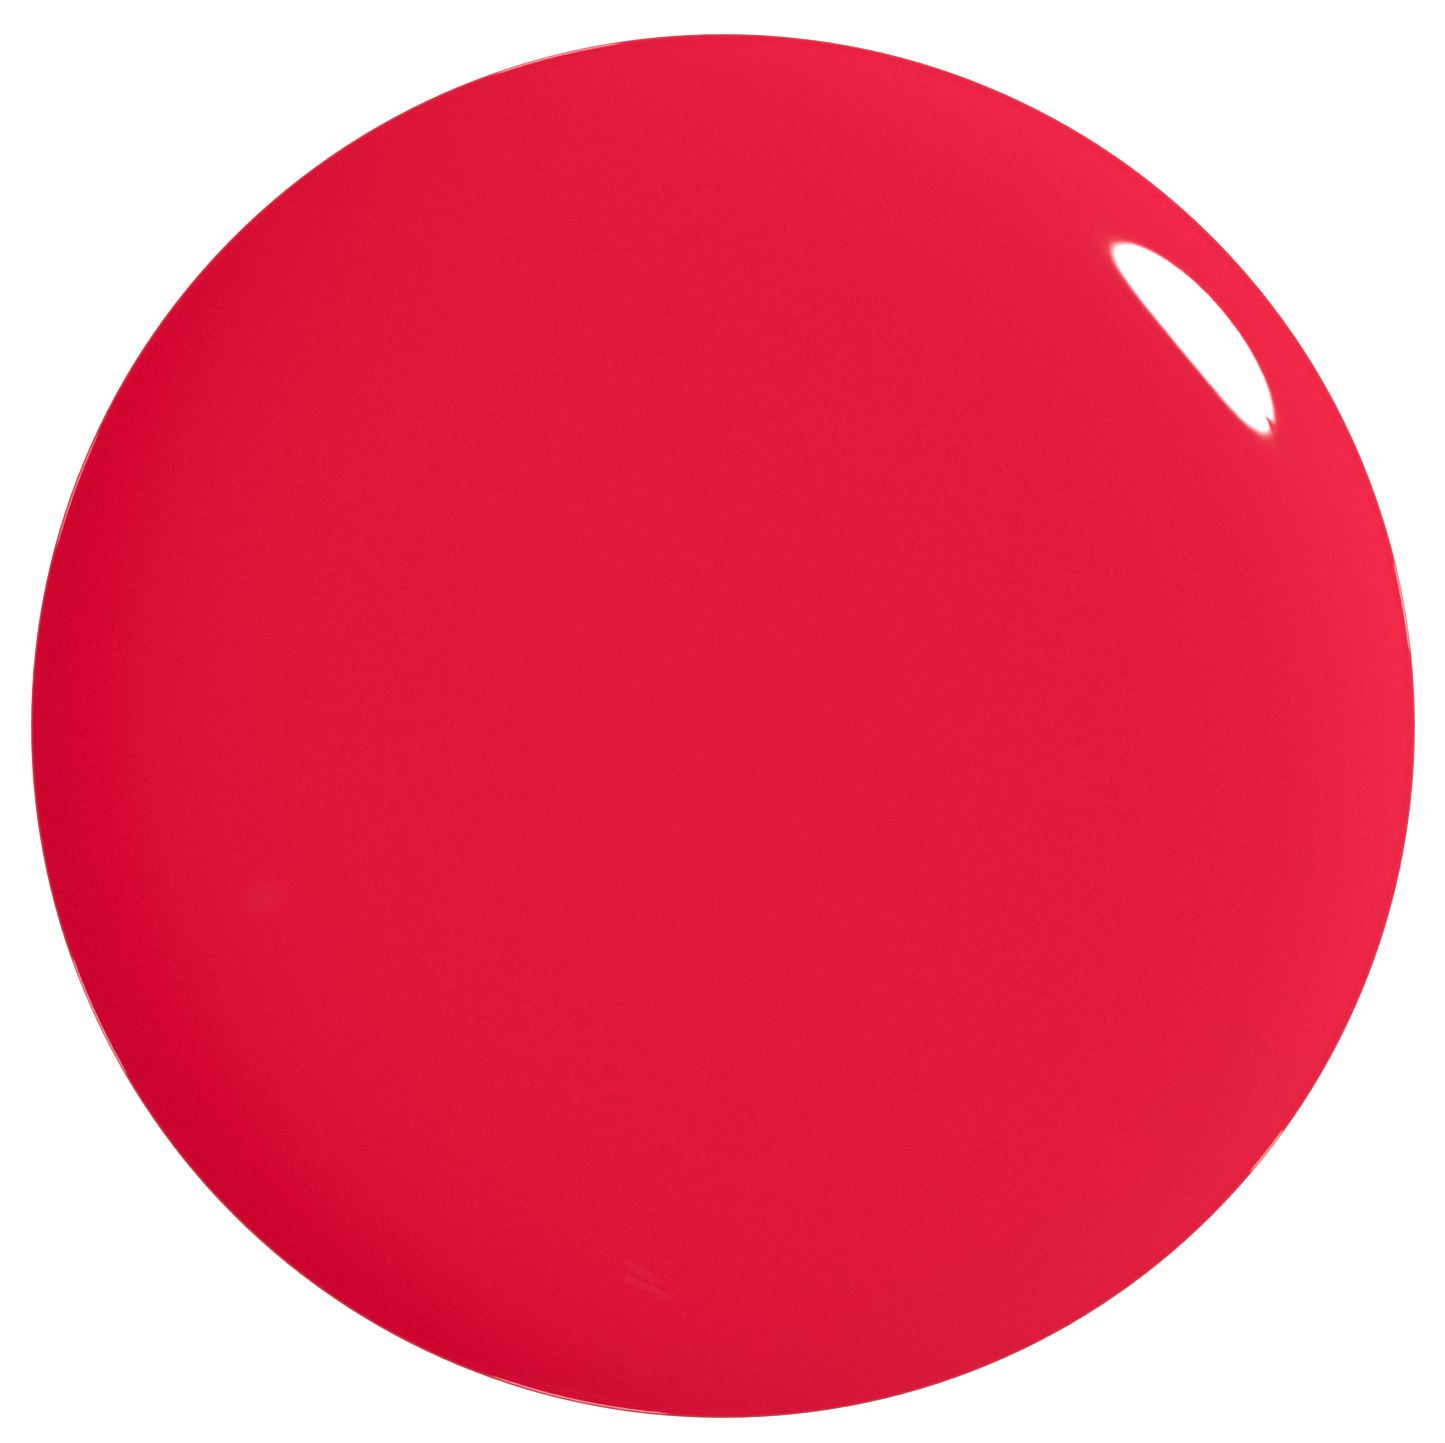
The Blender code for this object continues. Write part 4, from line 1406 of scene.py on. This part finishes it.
@dataclass
class OverCap:
    """The outer cap: shell, sleeve and weight."""

    wall: float = 1.3 * MM
    top_wall: float = 1.5 * MM
    sleeve_wall: float = 1.2 * MM
    sleeve_radius: float = 9.7 * MM
    sleeve_flange: float = 1.0 * MM
    sleeve_top_wall: float = 1.2 * MM
    fin_count: int = 8
    fin_thickness: float = 0.8 * MM
    key_count: int = 6
    key_width: float = 0.6 * MM
    key_crest: float = 9.2 * MM
    key_base: float = 45.3 * MM
    key_top: float = 67.0 * MM
    boss_radius: float = 5.7 * MM
    weight_hole: float = 6.0 * MM

    def __post_init__(self) -> None:
        """Reads the sizes that the frame gives."""
        low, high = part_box("over_cap_shell")
        self.radius = high.x
        self.base, self.top = low.z, high.z

    def shell(self) -> Object:
        """Turns the glossy shell.

        Returns:
            The shell piece.
        """
        inner = self.radius - self.wall
        stations = [
            Station(self.radius, self.top, 0.3 * MM, 5),
            Station(self.radius, self.base, 0.35 * MM, 5),
            Station(inner, self.base, 0.3 * MM, 4),
            Station(inner, self.top - self.top_wall, 0.4 * MM, 4),
        ]
        piece = turned("shell", stations, 180)
        return Workshop.deliver(piece, BLACK_GLOSS, "over_cap", "over_cap_shell", "black_gloss")

    def sleeve(self) -> Object:
        """Turns the sleeve and adds its fins and keys.

        Returns:
            The sleeve piece.
        """
        low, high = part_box("over_cap_sleeve")
        flange = self.radius - self.wall - 0.03 * MM
        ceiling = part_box("inner_cap")[1].z + 0.3 * MM
        top = ceiling + self.sleeve_top_wall
        outer = self.sleeve_radius + self.sleeve_wall
        stations = [
            Station(self.boss_radius, high.z, 0.3 * MM, 3),
            Station(self.boss_radius, top, 0.2 * MM, 3),
            Station(flange, top, 0.15 * MM, 3),
            Station(flange, ceiling, 0.15 * MM, 3),
            Station(outer, ceiling, 0.3 * MM, 3),
            Station(outer, low.z + self.sleeve_flange, 0.3 * MM, 3),
            Station(flange, low.z + self.sleeve_flange, 0.15 * MM, 3),
            Station(flange, low.z, 0.15 * MM, 3),
            Station(self.sleeve_radius, low.z, 0.3 * MM, 4),
            Station(self.sleeve_radius, ceiling, 0.3 * MM, 3),
        ]
        piece = turned("sleeve", stations, 120)
        start, end = outer - 0.6 * MM, flange - 0.3 * MM
        height = top - 0.6 * MM - (low.z + 0.5 * MM)
        fin = bar(
            "sleeve_fin",
            (end - start, self.fin_thickness, height),
            ((start + end) / 2, 0.0, low.z + 0.5 * MM + height / 2),
        )
        combine(piece, copies_around(fin, self.fin_count), Solid.ADD)
        root = self.sleeve_radius + 0.6 * MM
        key = bar(
            "sleeve_key",
            (root - self.key_crest, self.key_width, self.key_top - self.key_base),
            ((root + self.key_crest) / 2, 0.0, (self.key_base + self.key_top) / 2),
            0.1 * MM,
        )
        combine(piece, copies_around(key, self.key_count), Solid.ADD)
        return Workshop.deliver(piece, BLACK_SATIN, "over_cap", "over_cap_sleeve", "black_polypropylene")

    def weight(self) -> Object:
        """Turns the weight ring, with its edges broken.

        Returns:
            The weight piece.
        """
        low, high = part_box("cap_weight")
        stations = [
            Station(high.x, high.z, 0.3 * MM, 2),
            Station(high.x, low.z, 0.3 * MM, 2),
            Station(self.weight_hole, low.z, 0.3 * MM, 2),
            Station(self.weight_hole, high.z, 0.3 * MM, 2),
        ]
        piece = turned("weight", stations, PLAIN_SIDES, Close.RING)
        return Workshop.deliver(piece, TURNED_STEEL, "over_cap", "cap_weight", "weight_steel")

    def build(self) -> None:
        """Builds the over-cap's pieces."""
        self.shell()
        self.sleeve()
        self.weight()


@dataclass
class ColourDrop:
    """The clear plate on the over-cap and the drop of lacquer poured on it."""

    plate_edge: float = 0.08 * MM
    rim_slope: float = 0.6
    fade_share: float = 0.115
    rim_round: float = 0.14 * MM
    rim_height: float = 0.12 * MM
    first_ring_share: float = 0.015
    ring_crowding: float = 1.9
    ring_steps: int = 45
    rim_turns: tuple[int, ...] = (25, 50, 75, 100)

    def __post_init__(self) -> None:
        """Reads the sizes that the frame gives."""
        self.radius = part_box("lacquer_drop")[1].x
        self.shell_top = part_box("over_cap_shell")[1].z
        self.plate_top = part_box("drop_plate")[1].z + 0.14 * MM

    def plate(self) -> Object:
        """Turns the plate, with its edges polished.

        Returns:
            The plate piece.
        """
        stations = [
            Station(self.radius - 0.03 * MM, self.plate_top, self.plate_edge, 2),
            Station(self.radius - 0.03 * MM, self.shell_top + 0.01 * MM, self.plate_edge, 2),
        ]
        piece = turned("plate", stations, 180)
        return Workshop.deliver(piece, CLEAR_ACRYLIC, "over_cap", "drop_plate", "clear_acrylic")

    def height(self, radius: float) -> float:
        """The drop's height over its rim.

        Args:
            radius: the distance from its middle.

        Returns:
            The height: level in the middle, with its tilt dying away inwards from the rim.
        """
        reach = self.fade_share * self.radius
        return self.rim_slope * reach * (1.0 - math.exp((radius - self.radius) / reach))

    def drop(self) -> Object:
        """Turns the poured drop, its rim rolled over the plate's edge.

        Returns:
            The drop piece.
        """
        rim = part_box("lacquer_drop")[0].z + self.rim_height
        foot = self.plate_top - 0.03 * MM
        reach = self.radius - self.rim_round
        first = self.first_ring_share
        stations = []
        for n in range(self.ring_steps + 1):
            share = 1.0 - (1.0 - n / self.ring_steps) ** self.ring_crowding
            radius = min(self.radius * (first + (1.0 - first) * share), reach)
            if not stations or radius > stations[-1].radius + 0.01 * MM:
                stations.append(Station(radius, rim + self.height(radius)))
        middle = stations[-1].height - self.rim_round
        for turn in map(math.radians, self.rim_turns):
            across, up = self.rim_round * math.sin(turn), self.rim_round * math.cos(turn)
            stations.append(Station(reach + across, middle + up))
        stations.append(Station(self.radius - 0.06 * MM, foot + 0.02 * MM))
        stations.append(Station(self.radius - 0.1 * MM, foot))
        piece = turned("drop", stations, 240)
        return Workshop.deliver(piece, POURED_LACQUER, "over_cap", "lacquer_drop", "red_lacquer")

    def build(self) -> None:
        """Builds the drop's pieces."""
        self.plate()
        self.drop()


# The studio


@dataclass(frozen=True)
class Seam:
    """A dark gap between a softbox's face and its frame: a wedge from one end, at a height on the face."""

    end: float
    height: float
    depth: float
    width: float


@dataclass(frozen=True)
class Softbox:
    """An area light that faces a point on the bottle's axis."""

    name: str
    azimuth: float
    zenith: float
    distance: float
    width: float
    height: float
    radiance: float
    roundness: float = 4.0
    softness: float = 0.4
    aim: float = 0.0765
    colour: Colour = (1.0, 1.0, 1.0)
    seams: tuple[Seam, ...] = ()

    def hang(self) -> None:
        """Hangs the light, with a face that is rounded and fades at its edge."""
        data = bpy.data.lights.new(self.name, "AREA")
        data.shape = "RECTANGLE"
        data.size = self.width
        data.size_y = self.height
        data.energy = self.radiance * math.pi * self.width * self.height
        data.color = self.colour
        data.use_nodes = True
        wiring = Wiring(data.node_tree)
        face = wiring.add("SeparateXYZ")
        wiring.link(wiring.add("NewGeometry").outputs["Parametric"], face.inputs[0])
        across, up = (
            wiring.math("MULTIPLY", wiring.math("SUBTRACT", face.outputs[axis], 0.5), 2.0) for axis in "XY"
        )
        sides = [wiring.math("ABSOLUTE", side, 0.0) for side in (across, up)]
        rim = wiring.math("ADD", *(wiring.math("POWER", side, self.roundness) for side in sides))
        glow = wiring.spread(rim, 1.0 - self.softness, 1.0, 1.0, 0.0)
        for seam in self.seams:
            inwards = wiring.math("SUBTRACT", wiring.math("MULTIPLY", across, seam.end), 1.0 - seam.depth)
            gap = wiring.math("MULTIPLY", inwards, seam.width / seam.depth)
            off = wiring.math("ABSOLUTE", wiring.math("SUBTRACT", up, seam.height), 0.0)
            shut = wiring.spread(wiring.math("SUBTRACT", off, gap), -0.02, 0.02, 0.0, 1.0)
            glow = wiring.math("MULTIPLY", glow, shut)
        wiring.link(glow, data.node_tree.nodes["Emission"].inputs["Strength"])
        light = bpy.data.objects.new(self.name, data)
        bpy.context.scene.collection.objects.link(light)
        around, down = math.radians(self.azimuth), math.radians(self.zenith)
        way = Vector(
            (math.sin(down) * math.cos(around), math.sin(down) * math.sin(around), math.cos(down))
        )
        light.location = Vector((0.0, 0.0, self.aim)) + way * self.distance
        light.rotation_euler = way.to_track_quat("Z", "Y").to_euler()
        light.visible_camera = False


@dataclass
class Studio:
    """Pale floor that sweeps up into a backdrop, soft lights, and the camera straight above the drop."""

    hub_radius: float = 0.05
    floor_radius: float = 1.6
    sweep_height: float = 0.62
    sweep_steps: int = 8
    sweep_near: float = 0.8
    sweep_far: float = 1.4
    floor_near: float = 14.0 * MM
    floor_far: float = 21.0 * MM
    near_colour: Colour = (0.8, 0.8, 0.8)
    far_colour: Colour = (0.35, 0.35, 0.35)
    near_glow: float = 0.2
    far_glow: float = 0.9
    through_glow: float = 0.62
    bounced_glow: float = 0.26
    sky_azimuth: float = 18.0
    sky_level: float = 0.23
    sky_slope: float = 0.42
    sky_colour: Colour = (1.0, 0.86, 1.12)
    lens: float = 200.0
    sensor: float = 36.0
    view_width: float = 31.322 * MM
    camera_right: float = -0.011 * MM
    camera_up: float = 0.0975 * MM

    def floor(self) -> None:
        """Turns the floor and its backdrop, which glow a little so that they stay pale."""
        deselect()
        bpy.ops.mesh.primitive_circle_add(vertices=PLAIN_SIDES, radius=self.hub_radius, fill_type="NGON")
        floor = take_new("studio_floor")
        with editing():
            bpy.ops.mesh.extrude_region_move()
            widen(self.floor_radius / self.hub_radius)
            was, height = self.floor_radius, 0.0
            for step in range(1, self.sweep_steps + 1):
                turn = math.radians(90.0) * step / self.sweep_steps
                out = self.floor_radius + self.sweep_height * math.sin(turn)
                rise = self.sweep_height * (1.0 - math.cos(turn))
                bpy.ops.mesh.extrude_region_move(
                    TRANSFORM_OT_translate={"value": (0.0, 0.0, rise - height)}
                )
                widen(out / was)
                was, height = out, rise
            bpy.ops.mesh.delete(type="ONLY_FACE")
            bpy.ops.mesh.select_all(action="SELECT")
            bpy.ops.mesh.flip_normals()
        smooth(floor)
        floor.data.materials.append(self.floor_finish())

    def floor_finish(self) -> Material:
        """Makes the floor's material: it takes a shadow round the base, and glows white beyond.

        Returns:
            The material.
        """
        material = bpy.data.materials.new("studio_floor")
        material.use_nodes = True
        wiring = Wiring(material.node_tree)
        shader = material.node_tree.nodes["Principled BSDF"]
        length = wiring.add("VectorMath", operation="LENGTH")
        wiring.link(wiring.place(), length.inputs[0])
        radius = length.outputs["Value"]
        far = wiring.spread(radius, self.floor_near, self.floor_far, 0.0, 1.0)
        wiring.link(wiring.blend(far, self.near_colour, self.far_colour), shader.inputs["Base Color"])
        glow = wiring.spread(radius, self.floor_near, self.floor_far, self.near_glow, self.far_glow)
        path = wiring.add("LightPath")
        straight = wiring.math("MULTIPLY", glow, path.outputs["Is Camera Ray"])
        dimmed = wiring.spread(
            radius, self.sweep_near, self.sweep_far, self.through_glow, self.bounced_glow
        )
        through = wiring.math("MULTIPLY", dimmed, path.outputs["Is Transmission Ray"])
        seen = wiring.math("MAXIMUM", path.outputs["Is Camera Ray"], path.outputs["Is Transmission Ray"])
        rest = wiring.math("MULTIPLY", wiring.math("SUBTRACT", seen, 1.0), -self.bounced_glow)
        total = wiring.math("ADD", wiring.math("ADD", straight, through), rest)
        wiring.link(total, shader.inputs["Emission Strength"])
        shader.inputs["Emission Color"].default_value = (1.0, 1.0, 1.0, 1.0)
        shader.inputs["Roughness"].default_value = 0.9
        shader.inputs["Specular IOR Level"].default_value = 0.0
        below = wiring.add("MixShader")
        wiring.link(wiring.add("NewGeometry").outputs["Backfacing"], below.inputs[0])
        wiring.link(shader.outputs[0], below.inputs[1])
        wiring.link(wiring.add("BsdfTransparent").outputs[0], below.inputs[2])
        wiring.link(below.outputs[0], material.node_tree.nodes["Material Output"].inputs["Surface"])
        return material

    def lights(self) -> None:
        """Hangs the key over the drop's upper right, and low strips that draw lines down the sides."""
        boxes = [
            Softbox(
                "key", 39.5, 34.0, 0.5, 0.110, 0.171, 44.0, roundness=2.1, softness=0.2,
                seams=(Seam(1.0, 0.62, 0.24, 0.1), Seam(-1.0, 0.05, 0.16, 0.16)),
            ),
            Softbox("front_fill", 258.0, 73.0, 0.7, 0.18, 0.3, 9.0),
            Softbox("left_fill", 160.0, 76.0, 0.7, 0.12, 0.3, 6.0),
            Softbox("right_strip", 10.0, 90.0, 0.26, 0.034, 0.17, 7.0, aim=0.087),
            Softbox("back_strip", 104.0, 90.0, 0.26, 0.05, 0.17, 5.0, aim=0.087),
            Softbox("left_strip", 205.0, 90.0, 0.26, 0.05, 0.17, 5.0, aim=0.087),
            Softbox("front_strip", 322.0, 90.0, 0.26, 0.02, 0.17, 6.0, aim=0.087),
        ]
        for box in boxes:
            box.hang()
        bpy.context.scene.view_settings.view_transform = "Standard"

    def sky(self) -> None:
        """Sets the surroundings: dim, and brighter towards the right."""
        world = bpy.data.worlds.new("studio_sky")
        world.use_nodes = True
        wiring = Wiring(world.node_tree)
        towards = wiring.add("VectorMath", operation="DOT_PRODUCT")
        around = math.radians(self.sky_azimuth)
        towards.inputs[1].default_value = (math.cos(around), math.sin(around), 0.0)
        wiring.link(wiring.add("TexCoord").outputs["Generated"], towards.inputs[0])
        tilted = wiring.math("MULTIPLY", towards.outputs["Value"], self.sky_slope)
        level = wiring.math("MAXIMUM", wiring.math("ADD", tilted, self.sky_level), 0.0)
        background = world.node_tree.nodes["Background"]
        background.inputs["Color"].default_value = (*self.sky_colour, 1.0)
        wiring.link(level, background.inputs["Strength"])
        bpy.context.scene.world = world

    def camera(self) -> None:
        """Sets the camera straight above the drop, whose rim nearly fills the view."""
        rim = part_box("lacquer_drop")[0].z
        distance = self.view_width * self.lens / self.sensor
        data = bpy.data.cameras.new("overhead_camera")
        data.lens = self.lens
        data.sensor_width = self.sensor
        data.clip_start, data.clip_end = 0.01, 20.0
        camera = bpy.data.objects.new("overhead_camera", data)
        camera.location = (self.camera_right, self.camera_up, rim + distance)
        bpy.context.scene.collection.objects.link(camera)
        bpy.context.scene.camera = camera

    def build(self) -> None:
        """Builds the studio."""
        self.floor()
        self.sky()
        self.lights()
        self.camera()


def main() -> None:
    """Builds the whole scene in order."""
    logging.basicConfig(level=logging.INFO)
    for assembly in (Bottle(), BrushCap(), OverCap(), ColourDrop(), Studio()):
        assembly.build()
        LOG.info("%s built", type(assembly).__name__)


if __name__ == "__main__":
    main()
